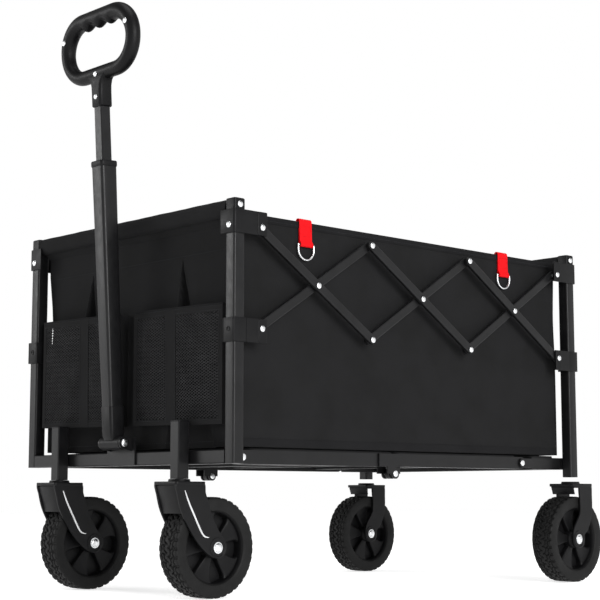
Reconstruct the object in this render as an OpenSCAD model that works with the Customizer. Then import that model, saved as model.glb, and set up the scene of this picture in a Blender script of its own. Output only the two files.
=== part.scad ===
// Folding camp wagon. X runs from front (-) to rear (+), the right side is -Y, the floor is z = 0.

/* [Frame] */
// Length over the corner posts
frame_l = 870; // [780:5:1050]
// Width over the corner posts
frame_w = 570; // [480:5:690]
// Height of the top of the post caps
post_top = 626; // [560:2:760]
// Underside of the bottom cross tubes
base_z = 211; // [205:1:245]
// Side of the square tubes
tube = 22; // [20:0.5:26]
// Wall of the square tubes
tube_wall = 1.5; // [1:0.25:2.5]
// Diameter of the top tubes in the fabric hem
hem_tube_d = 16; // [12:0.5:18]

/* [Scissor sides] */
// Distance from a post axis to its end pivots
pivot_inset = 45; // [40:1:60]
// Height of the top row of pivots
pivot_top = 583; // [520:1:590]
// Height of the bottom row of pivots
pivot_bottom = 422; // [400:1:440]
// Width of a scissor bar
bar_w = 15.5; // [12:0.5:18]
// Thickness of a scissor bar
bar_t = 7; // [5:0.5:7.5]
// Web thickness of a scissor bar
bar_web = 1.8; // [1.2:0.2:3]
// Radius of a pivot rivet shank
rivet_r = 3; // [2:0.25:3.5]
// Radius of a pivot rivet head
head_r = 5.25; // [4.5:0.25:6.5]
// Thickness of a rivet head
head_t = 2; // [1:0.25:2.5]
// Height of the post brackets
bracket_h = 38; // [30:1:44]
// Plate thickness of the post brackets
bracket_t = 2.5; // [1.5:0.25:3.5]

/* [Floor frame] */
// Width of a side rail
rail_w = 20; // [16:1:24]
// Height of a side rail
rail_h = 22; // [18:1:26]
// Distance of the front hinge pin from the front post axis
front_pin_x = 32; // [30:1:45]
// Distance of the rear hinge pin from the rear post axis
rear_pin_x = 124; // [90:1:150]
// Depth of the middle hinge pin below the side rails
mid_pin_drop = 12; // [11:1:16]
// Radius of the hinge pins
pin_r = 4; // [3:0.5:5]
// Thickness of the hinge plates
plate_t = 2.8; // [2:0.2:3]
// Thickness of the floor boards
floor_t = 3; // [2:0.5:5]

/* [Fabric] */
// Thickness of the fabric walls
cloth_t = 3; // [2:0.5:4]
// Height of the top edge of the side walls
side_top = 611; // [560:1:640]
// Gap between the rear wall and the rear post axis
rear_wall_gap = 22; // [16:1:40]
// Depth of the mesh pockets
pocket_d = 18; // [12:1:22]
// Height of the top hem of the mesh pockets
pocket_top = 466; // [380:2:520]
// Height of the foot of the mesh pockets
pocket_foot = 270; // [250:2:320]
// Gap between the two mesh pockets
pocket_gap = 40; // [14:2:80]
// Width of a webbing tab
tab_w = 28; // [20:1:36]
// Height of a webbing tab
tab_h = 38; // [30:1:50]
// Place of the front tabs behind the front post axis
tab_front = 162; // [130:2:200]
// Place of the rear tabs ahead of the rear post axis
tab_rear = 178; // [140:2:220]
// Width of a D-ring
ring_w = 38; // [32:1:42]
// Wire diameter of a D-ring
ring_wire = 3.2; // [2.6:0.1:3.6]
// Length of the straight sides of a D-ring
ring_leg = 7.4; // [4:0.2:10]

/* [Wheels] */
// Wheel diameter
wheel_d = 160; // [130:2:170]
// Wheel width
wheel_w = 46; // [34:1:52]
// Number of spokes
spokes = 5; // [4:1:7]
// Radius of the axle bolts
axle_r = 6; // [4:0.5:8]
// Thickness of a fork leg
leg_t = 4; // [3:0.5:6]
// Trail of the front casters
front_trail = 57; // [35:1:65]
// Distance of the rear axle ahead of the rear post axis
rear_trail = 14; // [0:1:25]
// Distance of a caster stem from the side face
stem_inset = 118; // [90:2:150]

/* [Handle] */
// Forward lean of the handle
lean = 3.5; // [0:0.5:8]
// Height of the handle pivot
handle_z = 248; // [240:1:262]
// Side of the outer tube
outer_s = 30; // [24:0.5:34]
// Side of the inner tube
inner_s = 20; // [16:0.5:21]
// Distance from the pivot to the foot of the outer tube
fitting_l = 58; // [45:1:70]
// Length of the outer tube
outer_l = 397; // [330:1:450]
// Length of inner tube that shows above the collar
inner_show = 94; // [60:1:150]
// Width of the grip loop between its side centre lines
grip_w = 186; // [140:2:200]
// Height of the grip loop between its centre lines
grip_h = 97; // [88:1:130]
// Thickness of the grip loop
grip_d = 30; // [22:1:34]

/* [Hidden] */
$fn = 48;
slop = 0.3; // gap between moving faces
run = 0.05; // radial clearance of a pin in its bore
eps = 1; // overshoot of a cut

post_x = (frame_l - tube) / 2;
half_w = frame_w / 2;
post_y = half_w - tube / 2;
tube_c = 1.6; // corner chamfer of the square tubes
panel_u = tube + 3; // outer face of the side fabric, measured in from the side face
rail_u = panel_u + cloth_t + 1.5; // outer face of the side rails, measured the same way
cap_h = 20;
cap_pin_l = 8;
cap_pin_r = 2.5;
cap_pin_z = post_top - 10.5;
hem_z = post_top - 15;
floor_z = base_z + rail_h;
cloth_z = floor_z + 4;

// scissor geometry
span = 2 * (post_x - pivot_inset);
pitch = span / 3;
rise = pivot_top - pivot_bottom;
bar_l = sqrt(pitch * pitch + rise * rise);
bar_a = atan2(rise, pitch);
outer_u = slop;
inner_u = outer_u + bar_t + 1;
washer_r = 8;
ear_reach = 10; // how far brackets and sliders reach past their pivots
tail_r = rivet_r + 2;
tail_t = 1.2;
tail_in = 0.1; // how far a tail lies below the face of its bar
tail_cut = tail_t + tail_in + 0.1;
end_x = post_x - pivot_inset;

// floor frame geometry
p1_x = -post_x + front_pin_x;
p3_x = post_x - rear_pin_x;
p2_x = (p1_x + p3_x) / 2;
pin_z = base_z + rail_h / 2;
p2_z = base_z - mid_pin_drop;
knuckle_r = 8.6;
pin_head_r = 5.5;
pin_head_t = 1.5;
pin_tail_t = 1.5;
cross_at = 60; // distance of a cross member from the hinge pin next to it
board_clear = 16; // distance of a board's end from an end hinge pin
stub_x = p3_x + 30; // front end of the fixed rear stubs and their board
ear_o = rail_u - slop - plate_t;
ear_i = rail_u + rail_w + slop;
cross_s = 16;
sleeve_l = 40;

// casters
wheel_r = wheel_d / 2;
stem_x = -post_x - tube;
stem_y = -half_w + stem_inset;
front_axle_x = stem_x + front_trail;
rear_axle_x = post_x - rear_trail;
leg_i = wheel_w / 2 + 1.3;
leg_o = leg_i + leg_t;
crown_z = wheel_d + 16;
crown_t = 8;
collar_t = 4;
stem_z = crown_z + crown_t + collar_t + slop;
stem_top = base_z + 67;
king_r = 6;
king_l = 44;
tread_r = wheel_r - 8;
rim_r = tread_r - 14;
window_r = rim_r - 6;
boss_r = 16;
spoke_t = wheel_w - 18;
spoke_turn = 104;
web_t = 4;
nut_r = 9;
nut_t = 3;

// handle
pivot_x = -post_x - tube / 2 - 18;
bolt_r = 5;
collar_h = 22;
collar_lap = 3; // how far the collar reaches down over the outer tube
cup_h = 22;
seat = 6; // depth of the inner tube's end below the top of its socket
collar_s = outer_s + 4;
socket_h = 43;
socket_s = inner_s + 6;
inner_z0 = 150;
outer_z1 = fitting_l + outer_l;
socket_z = outer_z1 + collar_h - collar_lap + inner_show;
loop_z = socket_z + socket_h + grip_d / 2;
ear_y = 27;

// webbing tabs
loop_u = panel_u - 3.8;
loop_z_tab = side_top - tab_h - 2;

// the origin is under the middle of the whole object
x_front = pivot_x - (loop_z + grip_h) * sin(lean) - grip_d / 2;
x_rear = rear_axle_x + wheel_r;
shift = -(x_front + x_rear) / 2;

steel = "#26282a";
plastic = "#1c1d1f";
cloth = "#232425";
zinc = "#d8dadc";
red = "#e01b22";

// y of a depth measured in from the right side face
function yr(u) = -half_w + u;

module place() translate([shift, 0, 0]) children();

// the drawn right-hand shape and its mirror image on the left
module both_sides() {
    children();
    mirror([0, 1, 0]) children();
}

module span_box(x0, x1, y0, y1, z0, z1) {
    translate([x0, y0, z0]) cube([x1 - x0, y1 - y0, z1 - z0]);
}

module chamfered(s, c) {
    h = s / 2;
    polygon([[h, h - c], [h - c, h], [c - h, h], [-h, h - c],
             [-h, c - h], [c - h, -h], [h - c, -h], [h, c - h]]);
}

module square_tube(s, wall, l) {
    difference() {
        linear_extrude(l) chamfered(s, tube_c);
        translate([wall - s / 2, wall - s / 2, -eps]) cube([s - 2 * wall, s - 2 * wall, l + 2 * eps]);
    }
}

// cylinder along Y from depth u0 to u1 on the right side
module cross_pin(x, z, u0, u1, r) {
    translate([x, yr(u0), z]) rotate([-90, 0, 0]) cylinder(r = r, h = u1 - u0);
}

// ---------- end frames ----------

module posts(x, z0) {
    color(steel) place() both_sides()
        translate([x, -post_y, z0]) square_tube(tube, tube_wall, post_top - cap_h - z0);
}

module front_posts() posts(-post_x, base_z);
module rear_posts() posts(post_x, stem_z - slop);

module caps(x) {
    plug = tube - 2 * tube_wall - slop;
    color(plastic) place() both_sides() difference() {
        translate([x, -post_y, post_top - cap_h]) {
            linear_extrude(cap_h) chamfered(tube, tube_c);
            translate([-plug / 2, -plug / 2, -12]) cube([plug, plug, 12]);
        }
        cross_pin(x, cap_pin_z, -eps, cap_pin_l, cap_pin_r);
    }
}

module front_caps() {
    caps(-post_x);
    color(plastic) place() both_sides() translate([stem_x, stem_y, stem_top])
        linear_extrude(3) chamfered(tube, tube_c);
}
module rear_caps() caps(post_x);

// corner plate round the outside of a post, with an ear for the end pivot; s is -1 in front
module bracket_plate(s) {
    z0 = post_top - cap_h + 2 - bracket_h;
    x_face = post_x + tube / 2;
    difference() {
        union() {
            mirror([s < 0 ? 1 : 0, 0, 0]) {
                span_box(end_x - ear_reach, x_face + bracket_t, yr(-bracket_t), yr(0), z0, z0 + bracket_h);
                span_box(x_face, x_face + bracket_t, yr(-bracket_t), yr(tube + 9), z0, z0 + bracket_h);
            }
        }
        cross_pin(s * end_x, pivot_top, -bracket_t - eps, eps, rivet_r);
        translate([s * x_face, -post_y, pivot_top]) rotate([0, 90, 0])
            cylinder(r = rivet_r, h = 2 * (bracket_t + eps), center = true);
    }
}

module front_brackets() color(plastic) place() both_sides() bracket_plate(-1);
module rear_brackets() color(plastic) place() both_sides() bracket_plate(1);

module crossbars(x) {
    translate([x, half_w - tube, base_z + tube / 2]) rotate([90, 0, 0])
        square_tube(tube, tube_wall, frame_w - 2 * tube);
    translate([x, half_w - tube, hem_z]) rotate([90, 0, 0]) difference() {
        cylinder(d = hem_tube_d, h = frame_w - 2 * tube);
        translate([0, 0, -eps]) cylinder(d = hem_tube_d - 2 * tube_wall, h = frame_w);
    }
}

// pair of ears that hold a side rail, from x0 to the pin at x1
module rail_ears(x0, x1, z) {
    for (u = [ear_o, ear_i]) difference() {
        union() {
            span_box(min(x0, x1), max(x0, x1), yr(u), yr(u + plate_t), z - knuckle_r, z + knuckle_r);
            cross_pin(x1, z, u, u + plate_t, knuckle_r);
        }
        cross_pin(x1, z, u - eps, u + plate_t + eps, pin_r);
    }
}

module front_crossbars() color(steel) place() {
    crossbars(-post_x);
    both_sides() rail_ears(-post_x + tube / 2, p1_x, pin_z);
}

module rear_crossbars() color(steel) place() {
    crossbars(post_x);
    both_sides() {
        rail_ears(post_x - tube / 2, p3_x, pin_z);
        span_box(stub_x, post_x - tube / 2, yr(ear_o + plate_t), yr(ear_i), base_z, floor_z);
    }
}

// bore for the kingpin in the foot of a caster stem
module caster_stems() color(steel) place() both_sides() difference() {
    translate([stem_x, stem_y, stem_z]) linear_extrude(stem_top - stem_z) chamfered(tube, tube_c);
    translate([stem_x, stem_y, stem_z - eps]) cylinder(r = king_r + run, h = king_l + 4);
}

module handle_bracket() color(steel) place() {
    face = -post_x - tube / 2;
    span_box(face - 3, face, -38, 38, base_z + 1, handle_z + 10);
    for (s = [-1, 1]) difference() {
        union() {
            translate([0, s * (ear_y + 1.5), 0]) rotate([90, 0, 0]) linear_extrude(3, center = true)
                polygon([[face - 3, handle_z - 13], [face - 3, handle_z + 10], [pivot_x, handle_z + 10],
                         [pivot_x, handle_z - 10]]);
            translate([pivot_x, s * (ear_y + 1.5), handle_z]) rotate([90, 0, 0])
                cylinder(r = 10, h = 3, center = true);
        }
        translate([pivot_x, s * (ear_y + 1.5), handle_z]) rotate([90, 0, 0])
            cylinder(r = bolt_r, h = 3 + 2 * eps, center = true);
    }
}

// bright rivet: head outside, shank inwards to depth u1
module rivet(x, z, u0, u1, shank = rivet_r) {
    cross_pin(x, z, u0 - head_t, u0, head_r);
    cross_pin(x, z, u0, u1, shank);
}

// rivet whose tail lies in a recess just below the face at depth u1
module tailed_rivet(x, z, u0, u1) {
    rivet(x, z, u0, u1 - tail_in - tail_t);
    cross_pin(x, z, u1 - tail_in - tail_t, u1 - tail_in, tail_r);
}

// rivet through an outer and an inner bar
module bar_rivet(x, z) {
    tailed_rivet(x, z, outer_u, inner_u + bar_t);
}

// rivets and bolts that stay with an end frame; s is -1 in front
module frame_rivets(s) both_sides() {
    x_face = post_x + tube / 2;
    rivet(s * post_x, cap_pin_z, 0, cap_pin_l, cap_pin_r);
    translate([s * x_face, -post_y, pivot_top]) mirror([s < 0 ? 1 : 0, 0, 0]) rotate([0, 90, 0]) {
        cylinder(r = rivet_r, h = bracket_t);
        translate([0, 0, bracket_t]) cylinder(r = head_r, h = head_t);
    }
}

module hinge_pin(x, z) {
    cross_pin(x, z, ear_o - pin_head_t, ear_o, pin_head_r);
    cross_pin(x, z, ear_o, ear_i + plate_t, pin_r);
    cross_pin(x, z, ear_i + plate_t, ear_i + plate_t + pin_tail_t, pin_head_r);
}

module front_fasteners() color(zinc) place() {
    frame_rivets(-1);
    both_sides() {
        tailed_rivet(-end_x, pivot_top, -bracket_t, outer_u + bar_t);
        hinge_pin(p1_x, pin_z);
    }
    translate([pivot_x, ear_y + 7, handle_z]) rotate([90, 0, 0]) cylinder(r = bolt_r, h = 2 * ear_y + 10);
    for (s = [-1, 1]) translate([pivot_x, s * (ear_y + 5), handle_z]) rotate([90, 0, 0])
        cylinder(r = 8, h = 4, center = true);
}

module axle_bolt(y) {
    translate([0, y + leg_o, wheel_r]) rotate([90, 0, 0]) cylinder(r = axle_r, h = 2 * leg_o);
    for (s = [-1, 1]) translate([0, y + s * (leg_o + nut_t / 2), wheel_r]) rotate([90, 0, 0])
        cylinder(r = nut_r, h = nut_t, center = true);
}

module rear_fasteners() color(zinc) place() {
    frame_rivets(1);
    both_sides() {
        tailed_rivet(end_x, pivot_top, -bracket_t, inner_u + bar_t);
        hinge_pin(p3_x, pin_z);
        translate([rear_axle_x, 0, 0]) axle_bolt(-post_y);
    }
}

// ---------- fabric ----------

wall_y = half_w - panel_u - cloth_t - 0.5;
wall_front_x = -post_x + tube / 2 + 1;
wall_rear_x = post_x - rear_wall_gap;

module front_wall() color(cloth) place()
    span_box(wall_front_x, wall_front_x + cloth_t, -wall_y, wall_y, cloth_z, post_top - 8);

module rear_wall() color(cloth) place()
    span_box(wall_rear_x - cloth_t, wall_rear_x, -wall_y, wall_y, cloth_z, post_top - 8);

module side_panel() {
    span_box(wall_front_x, wall_rear_x, yr(panel_u), yr(panel_u + cloth_t), cloth_z, side_top);
}

module side_panel_right() color(cloth) place() side_panel();
module side_panel_left() color(cloth) place() mirror([0, 1, 0]) side_panel();

// open-topped mesh pocket in front of the front wall, between y0 and y1
module pocket(y0, y1) {
    t = 2;
    x1 = wall_front_x - 0.3;
    z0 = pocket_foot;
    difference() {
        span_box(x1 - pocket_d, x1, y0, y1, z0, pocket_top);
        span_box(x1 - pocket_d + t, x1 - t, y0 + t, y1 - t, z0 + t, pocket_top + eps);
    }
}

module mesh_pockets() color(cloth) place() {
    pocket(-wall_y + 6, -pocket_gap / 2);
    pocket(pocket_gap / 2, wall_y - 6);
}

// ---------- floor frame ----------

// side rail between two x, with solid ends
module side_rail(x0, x1) {
    difference() {
        span_box(x0, x1, yr(rail_u), yr(rail_u + rail_w), base_z, floor_z);
        span_box(x0 + 14, x1 - 14, yr(rail_u + tube_wall), yr(rail_u + rail_w - tube_wall),
                 base_z + tube_wall, floor_z - tube_wall);
    }
}

// rail whose outer end turns on an end pin
module hinged_rail(pin_x, x_mid) {
    difference() {
        union() {
            side_rail(min(pin_x, x_mid), max(pin_x, x_mid));
            cross_pin(pin_x, pin_z, rail_u, rail_u + rail_w, rail_h / 2);
        }
        cross_pin(pin_x, pin_z, rail_u - eps, rail_u + rail_w + eps, pin_r + run);
    }
}

module cross_member(x) {
    y = half_w - rail_u - rail_w;
    z = floor_z - 2 - cross_s / 2;
    translate([x, y, z]) rotate([90, 0, 0]) difference() {
        linear_extrude(2 * y) chamfered(cross_s, 1.2);
        translate([tube_wall - cross_s / 2, tube_wall - cross_s / 2, 2])
            cube([cross_s - 2 * tube_wall, cross_s - 2 * tube_wall, 2 * y - 4]);
    }
}

module floor_frame_front() color(steel) place() {
    both_sides() {
        hinged_rail(p1_x, p2_x - 0.5);
        // sleeve and cheek plates that carry the middle pin
        for (u = [ear_o, ear_i]) difference() {
            union() {
                span_box(p2_x - sleeve_l, p2_x - 1, yr(u - (u == ear_i ? slop : 0)),
                         yr(u + plate_t + (u == ear_o ? slop : 0)), base_z, floor_z);
                span_box(p2_x - sleeve_l / 2, p2_x, yr(u), yr(u + plate_t), p2_z, base_z + 2);
                cross_pin(p2_x, p2_z, u, u + plate_t, knuckle_r);
            }
            cross_pin(p2_x, p2_z, u - eps, u + plate_t + eps, pin_r);
        }
    }
    for (x = [p1_x + cross_at, p2_x - cross_at]) cross_member(x);
}

module floor_frame_rear() color(steel) place() {
    both_sides() {
        hinged_rail(p3_x, p2_x + 0.5);
        difference() {
            union() {
                span_box(p2_x, p2_x + sleeve_l / 2, yr(rail_u + 5), yr(rail_u + rail_w - 5), p2_z, base_z);
                cross_pin(p2_x, p2_z, rail_u + 5, rail_u + rail_w - 5, knuckle_r);
            }
            cross_pin(p2_x, p2_z, rail_u, rail_u + rail_w, pin_r + run);
        }
    }
    for (x = [p2_x + cross_at, p3_x - cross_at]) cross_member(x);
}

module mid_hinge_pins() color(zinc) place() both_sides() hinge_pin(p2_x, p2_z);

board_y = half_w - rail_u;
module floor_board_front() color(cloth) place()
    span_box(p1_x + board_clear, p2_x - 3, -board_y, board_y, floor_z, floor_z + floor_t);
module floor_board_rear() color(cloth) place()
    span_box(p2_x + 3, p3_x - board_clear, -board_y, board_y, floor_z, floor_z + floor_t);
module floor_board_end() color(cloth) place()
    span_box(stub_x, wall_rear_x - cloth_t - 1, -board_y, board_y, floor_z, floor_z + floor_t);

// ---------- scissor sides ----------

// bar along +X from the origin with its outer face at depth u; holes is a list of bore radii at
// its start, middle and end, and 0 leaves no hole
module bar(u, holes, tail) {
    m = bar_w / 2;
    difference() {
        union() {
            span_box(0, bar_l, u, u + bar_t, -m, m);
            for (x = [0, bar_l]) translate([x, u, 0]) rotate([-90, 0, 0]) cylinder(r = m, h = bar_t);
        }
        for (x = [0, bar_l / 2])
            span_box(x + 13, x + bar_l / 2 - 13, u + bar_web, u + bar_t + eps, bar_web - m, m - bar_web);
        for (i = [0:2]) if (holes[i] > 0) translate([i * bar_l / 2, u, 0]) rotate([-90, 0, 0]) {
            translate([0, 0, -eps]) cylinder(r = holes[i], h = bar_t + 2 * eps);
            if (tail) translate([0, 0, bar_t - tail_cut]) cylinder(r = tail_r + 0.2, h = tail_cut + eps);
        }
    }
}

// bar end disc that fills the depth from u0 to u1
module spacer(x, u0, u1, bore) {
    translate([x, u0, 0]) rotate([-90, 0, 0]) difference() {
        cylinder(r = washer_r, h = u1 - u0);
        translate([0, 0, -eps]) cylinder(r = bore, h = u1 - u0 + 2 * eps);
    }
}

// places a bar drawn along +X so that it starts at (x, z) and points at angle a
module bar_at(x, z, a) {
    color(steel) place() both_sides() translate([x, yr(0), z]) rotate([0, -a, 0]) children();
}

tight = rivet_r;
loose = rivet_r + run;
// outer bars fall to the rear, inner bars rise to the rear
module outer_bar(i, holes) bar_at(-end_x + i * pitch, pivot_top, -bar_a) {
    bar(outer_u, holes, false);
    for (k = [0:2]) if (i + k > 0 && holes[k] > 0)
        spacer(k * bar_l / 2, outer_u + bar_t, inner_u - slop, holes[k]);
}
module bar_a0() bar_at(-end_x, pivot_top, -bar_a) {
    difference() {
        bar(outer_u, [loose, tight, tight], false);
        translate([0, outer_u + bar_t - tail_cut, 0]) rotate([-90, 0, 0])
            cylinder(r = tail_r + 0.2, h = tail_cut + eps);
    }
    for (x = [bar_l / 2, bar_l]) spacer(x, outer_u + bar_t, inner_u - slop, tight);
}
module bar_a1() outer_bar(1, [tight, tight, tight]);
module bar_a2() outer_bar(2, [tight, tight, tight]);

module inner_bar(i, holes) bar_at(-end_x + i * pitch, pivot_bottom, bar_a) bar(inner_u, holes, true);
module bar_d0() {
    inner_bar(0, [loose, loose, loose]);
    bar_at(-end_x, pivot_bottom, bar_a) spacer(0, 0, inner_u, loose);
}
module bar_d1() inner_bar(1, [loose, loose, 0]);
module bar_d2() {
    inner_bar(2, [0, loose, loose]);
    bar_at(-end_x + 2 * pitch, pivot_bottom, bar_a) spacer(bar_l, slop, inner_u, loose);
}

mid_z = (pivot_top + pivot_bottom) / 2;
module rivets_a0() color(zinc) place() both_sides() {
    bar_rivet(-end_x + pitch / 2, mid_z);
    bar_rivet(-end_x + pitch, pivot_bottom);
}
module rivets_a1() color(zinc) place() both_sides() {
    bar_rivet(-end_x + pitch, pivot_top);
    bar_rivet(-end_x + 1.5 * pitch, mid_z);
    rivet(-end_x + 2 * pitch, pivot_bottom, outer_u, outer_u + bar_t);
}
module rivets_a2() color(zinc) place() both_sides() {
    rivet(-end_x + 2 * pitch, pivot_top, outer_u, outer_u + bar_t);
    bar_rivet(-end_x + 2.5 * pitch, mid_z);
    rivet(end_x, pivot_bottom, -bracket_t, outer_u + bar_t);
}
module rivets_d0() color(zinc) place() both_sides()
    tailed_rivet(-end_x, pivot_bottom, -bracket_t, inner_u + bar_t);

// collar that runs on a post, with its pivot ear; s is -1 in front
module slider(s) {
    z0 = pivot_bottom - bracket_h / 2 - 4;
    gap = tube / 2 + slop;
    wall = gap + bracket_t - slop;
    difference() {
        union() {
            translate([s * post_x, -post_y, z0]) difference() {
                translate([-wall, -wall - slop, 0]) cube([2 * wall, 2 * wall + slop, bracket_h]);
                translate([-gap, -gap, -eps]) cube([2 * gap, 2 * gap, bracket_h + 2 * eps]);
            }
            mirror([s < 0 ? 1 : 0, 0, 0])
                span_box(end_x - ear_reach, post_x, yr(-bracket_t), yr(-slop), z0, z0 + bracket_h);
        }
        cross_pin(s * end_x, pivot_bottom, -bracket_t - eps, eps, loose);
        translate([s * (post_x + gap), -post_y, pivot_bottom - 3]) rotate([0, 90, 0])
            cylinder(r = 2.6, h = 12, center = true);
    }
}
module slider_front() color(plastic) place() both_sides() slider(-1);
module slider_rear() color(plastic) place() both_sides() slider(1);

// ---------- webbing tabs and rings ----------

// red strap over the top edge of a side wall, with a loop for the ring at its foot
module tab(x) {
    wire = ring_wire / 2;
    u = panel_u - 2.4;
    x0 = x - tab_w / 2;
    x1 = x + tab_w / 2;
    inside = panel_u + cloth_t + 0.3;
    difference() {
        union() {
            span_box(x0, x1, yr(u), yr(u + 2), loop_z_tab + 2, side_top + 2.3);
            span_box(x0, x1, yr(u), yr(inside + 2), side_top + 0.3, side_top + 2.3);
            span_box(x0, x1, yr(inside), yr(inside + 2), side_top - 26, side_top + 2.3);
            translate([x0, yr(loop_u), loop_z_tab]) rotate([0, 90, 0]) cylinder(r = wire + 1.6, h = tab_w);
        }
        translate([x0 - eps, yr(loop_u), loop_z_tab]) rotate([0, 90, 0])
            cylinder(r = wire + slop, h = tab_w + 2 * eps);
    }
}
tab_front_x = -post_x + tab_front;
tab_rear_x = post_x - tab_rear;
module tabs_front() color(red) place() both_sides() tab(tab_front_x);
module tabs_rear() color(red) place() both_sides() tab(tab_rear_x);

// wire D-ring: straight bar, two short legs and a half round below
module d_ring(x) {
    r = (ring_w - ring_wire) / 2;
    translate([x, yr(loop_u), loop_z_tab]) {
        translate([-r, 0, 0]) rotate([0, 90, 0]) cylinder(d = ring_wire, h = 2 * r);
        for (s = [-1, 1]) translate([s * r, 0, 0]) {
            sphere(d = ring_wire);
            translate([0, 0, -ring_leg]) cylinder(d = ring_wire, h = ring_leg);
        }
        translate([0, 0, -ring_leg]) rotate([-90, 0, 0]) rotate_extrude(angle = 180)
            translate([r, 0]) circle(d = ring_wire);
    }
}
module ring_front_right() color(zinc) place() d_ring(tab_front_x);
module ring_front_left() color(zinc) place() mirror([0, 1, 0]) d_ring(tab_front_x);
module ring_rear_right() color(zinc) place() d_ring(tab_rear_x);
module ring_rear_left() color(zinc) place() mirror([0, 1, 0]) d_ring(tab_rear_x);

// ---------- handle ----------

// handle parts are drawn upright with the pivot at the origin
module on_handle() place() translate([pivot_x, 0, handle_z]) rotate([0, -lean, 0]) children();

module handle_fitting() color(plastic) on_handle() difference() {
    union() {
        rotate([90, 0, 0]) cylinder(r = 11, h = 2 * ear_y - 1, center = true);
        translate([-11, -16, 0]) cube([22, 32, fitting_l - cup_h]);
        translate([1 - collar_s / 2, 1 - collar_s / 2, fitting_l - cup_h])
            cube([collar_s - 2, collar_s - 2, cup_h]);
    }
    rotate([90, 0, 0]) cylinder(r = bolt_r + run, h = 2 * ear_y + 2, center = true);
}

module handle_outer_tube() color(steel) on_handle()
    translate([0, 0, fitting_l]) square_tube(outer_s, tube_wall, outer_l);

module handle_collar() color(plastic) on_handle() difference() {
    z0 = outer_z1 - collar_lap;
    translate([-collar_s / 2, -collar_s / 2, z0]) cube([collar_s, collar_s, collar_h]);
    translate([-outer_s / 2, -outer_s / 2, z0 - eps]) cube([outer_s, outer_s, collar_lap + eps]);
    hole = inner_s + 2 * slop;
    translate([-hole / 2, -hole / 2, outer_z1 - 1]) cube([hole, hole, collar_h + eps]);
}

module handle_inner_tube() color(steel) on_handle()
    translate([0, 0, inner_z0]) square_tube(inner_s, tube_wall, socket_z + socket_h - seat - inner_z0);

// oval loop: two half rings joined by straight bars, on a square socket
module grip() color(plastic) on_handle() {
    r = grip_h / 2;
    flat = grip_w - grip_h;
    translate([0, 0, loop_z + r]) {
        for (s = [-1, 1]) {
            translate([0, s * flat / 2, 0]) rotate([0, 90, 0]) rotate([0, 0, s < 0 ? 180 : 0])
                rotate_extrude(angle = 180) translate([r, 0]) circle(d = grip_d);
            translate([0, flat / 2, s * r]) rotate([90, 0, 0]) cylinder(d = grip_d, h = flat);
        }
    }
    difference() {
        translate([-socket_s / 2, -socket_s / 2, socket_z]) cube([socket_s, socket_s, socket_h + 8]);
        translate([-inner_s / 2, -inner_s / 2, socket_z - eps])
            cube([inner_s, inner_s, socket_h - seat + eps]);
    }
}

module grip_screws() color(zinc) on_handle() {
    translate([-socket_s / 2, 0, socket_z + 16]) rotate([0, -90, 0]) cylinder(r = 4.5, h = 1.6);
    for (s = [-1, 1]) translate([-grip_d / 2, s * (grip_w - grip_h) / 2, loop_z + 2]) rotate([0, -90, 0])
        cylinder(r = 3, h = 1.2);
}

// ---------- casters ----------

// fork legs and crown for a wheel at (ax, y) under a stem at (sx, y)
module fork(sx, ax, y) {
    top = crown_z + crown_t;
    reach = max(0, pow(wheel_r + 3, 2) - pow(ax - sx + 25, 2)); // the front plate stays clear of the tread
    skirt_z = max(crown_z - 42, wheel_r + sqrt(reach));
    difference() {
        union() {
            translate([sx - 28, y - leg_o, crown_z]) cube([58, 2 * leg_o, crown_t]);
            for (s = [-1, 1]) translate([0, y + s * (leg_i + leg_t / 2), 0]) rotate([90, 0, 0])
                linear_extrude(leg_t, center = true) {
                    polygon([[sx - 28, top], [sx + 30, top], [sx + 30, crown_z - 14],
                             [ax + 15.5, wheel_r + 7], [ax, wheel_r],
                             [ax - 14, wheel_r - 10], [min(sx - 20, ax - 9), crown_z - 40]]);
                    translate([ax, wheel_r]) circle(r = 17);
                }
            translate([sx - 28, y - leg_i - 1, skirt_z]) cube([3, 2 * leg_i + 2, crown_z - skirt_z + 1]);
            translate([sx, y, top]) cylinder(r = 17, h = collar_t);
        }
        translate([ax, y, wheel_r]) rotate([90, 0, 0]) cylinder(r = axle_r, h = 2 * leg_o + 2, center = true);
    }
}

module swivel_fork() {
    fork(stem_x, front_axle_x, stem_y);
    translate([stem_x, stem_y, crown_z]) cylinder(r = king_r, h = crown_t + collar_t + slop + king_l);
}
module fork_right() color(plastic) place() swivel_fork();
module fork_left() color(plastic) place() mirror([0, 1, 0]) swivel_fork();
module rear_forks() color(plastic) place() both_sides() fork(post_x, rear_axle_x, -post_y);

module axle_right() color(zinc) place() translate([front_axle_x, 0, 0]) axle_bolt(stem_y);
module axle_left() color(zinc) place() mirror([0, 1, 0]) translate([front_axle_x, 0, 0]) axle_bolt(stem_y);

// moulded wheel centre on a Y axis through the origin
module hub() rotate([90, 0, 0]) difference() {
    union() {
        cylinder(r = boss_r, h = wheel_w, center = true);
        difference() {
            cylinder(r = tread_r, h = wheel_w - 6, center = true);
            cylinder(r = rim_r, h = wheel_w, center = true);
        }
        // broad spokes between wedge recesses that leave a thin web in the middle
        difference() {
            cylinder(r = rim_r + 1, h = spoke_t, center = true);
            for (i = [0:spokes - 1]) rotate([0, 0, spoke_turn + (i + 0.5) * 360 / spokes])
                for (s = [0, 1]) mirror([0, 0, s]) translate([0, 0, web_t / 2]) linear_extrude(spoke_t)
                    polygon([[21, -5.5], [window_r - 2, -14], [window_r, 0], [window_r - 2, 14], [21, 5.5]]);
        }
    }
    cylinder(r = axle_r + run, h = wheel_w + 2, center = true);
}

// tread band over the rim
module tyre() rotate([90, 0, 0]) difference() {
    cylinder(r = wheel_r, h = wheel_w, center = true);
    cylinder(r = tread_r, h = wheel_w + 2, center = true);
}

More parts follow.
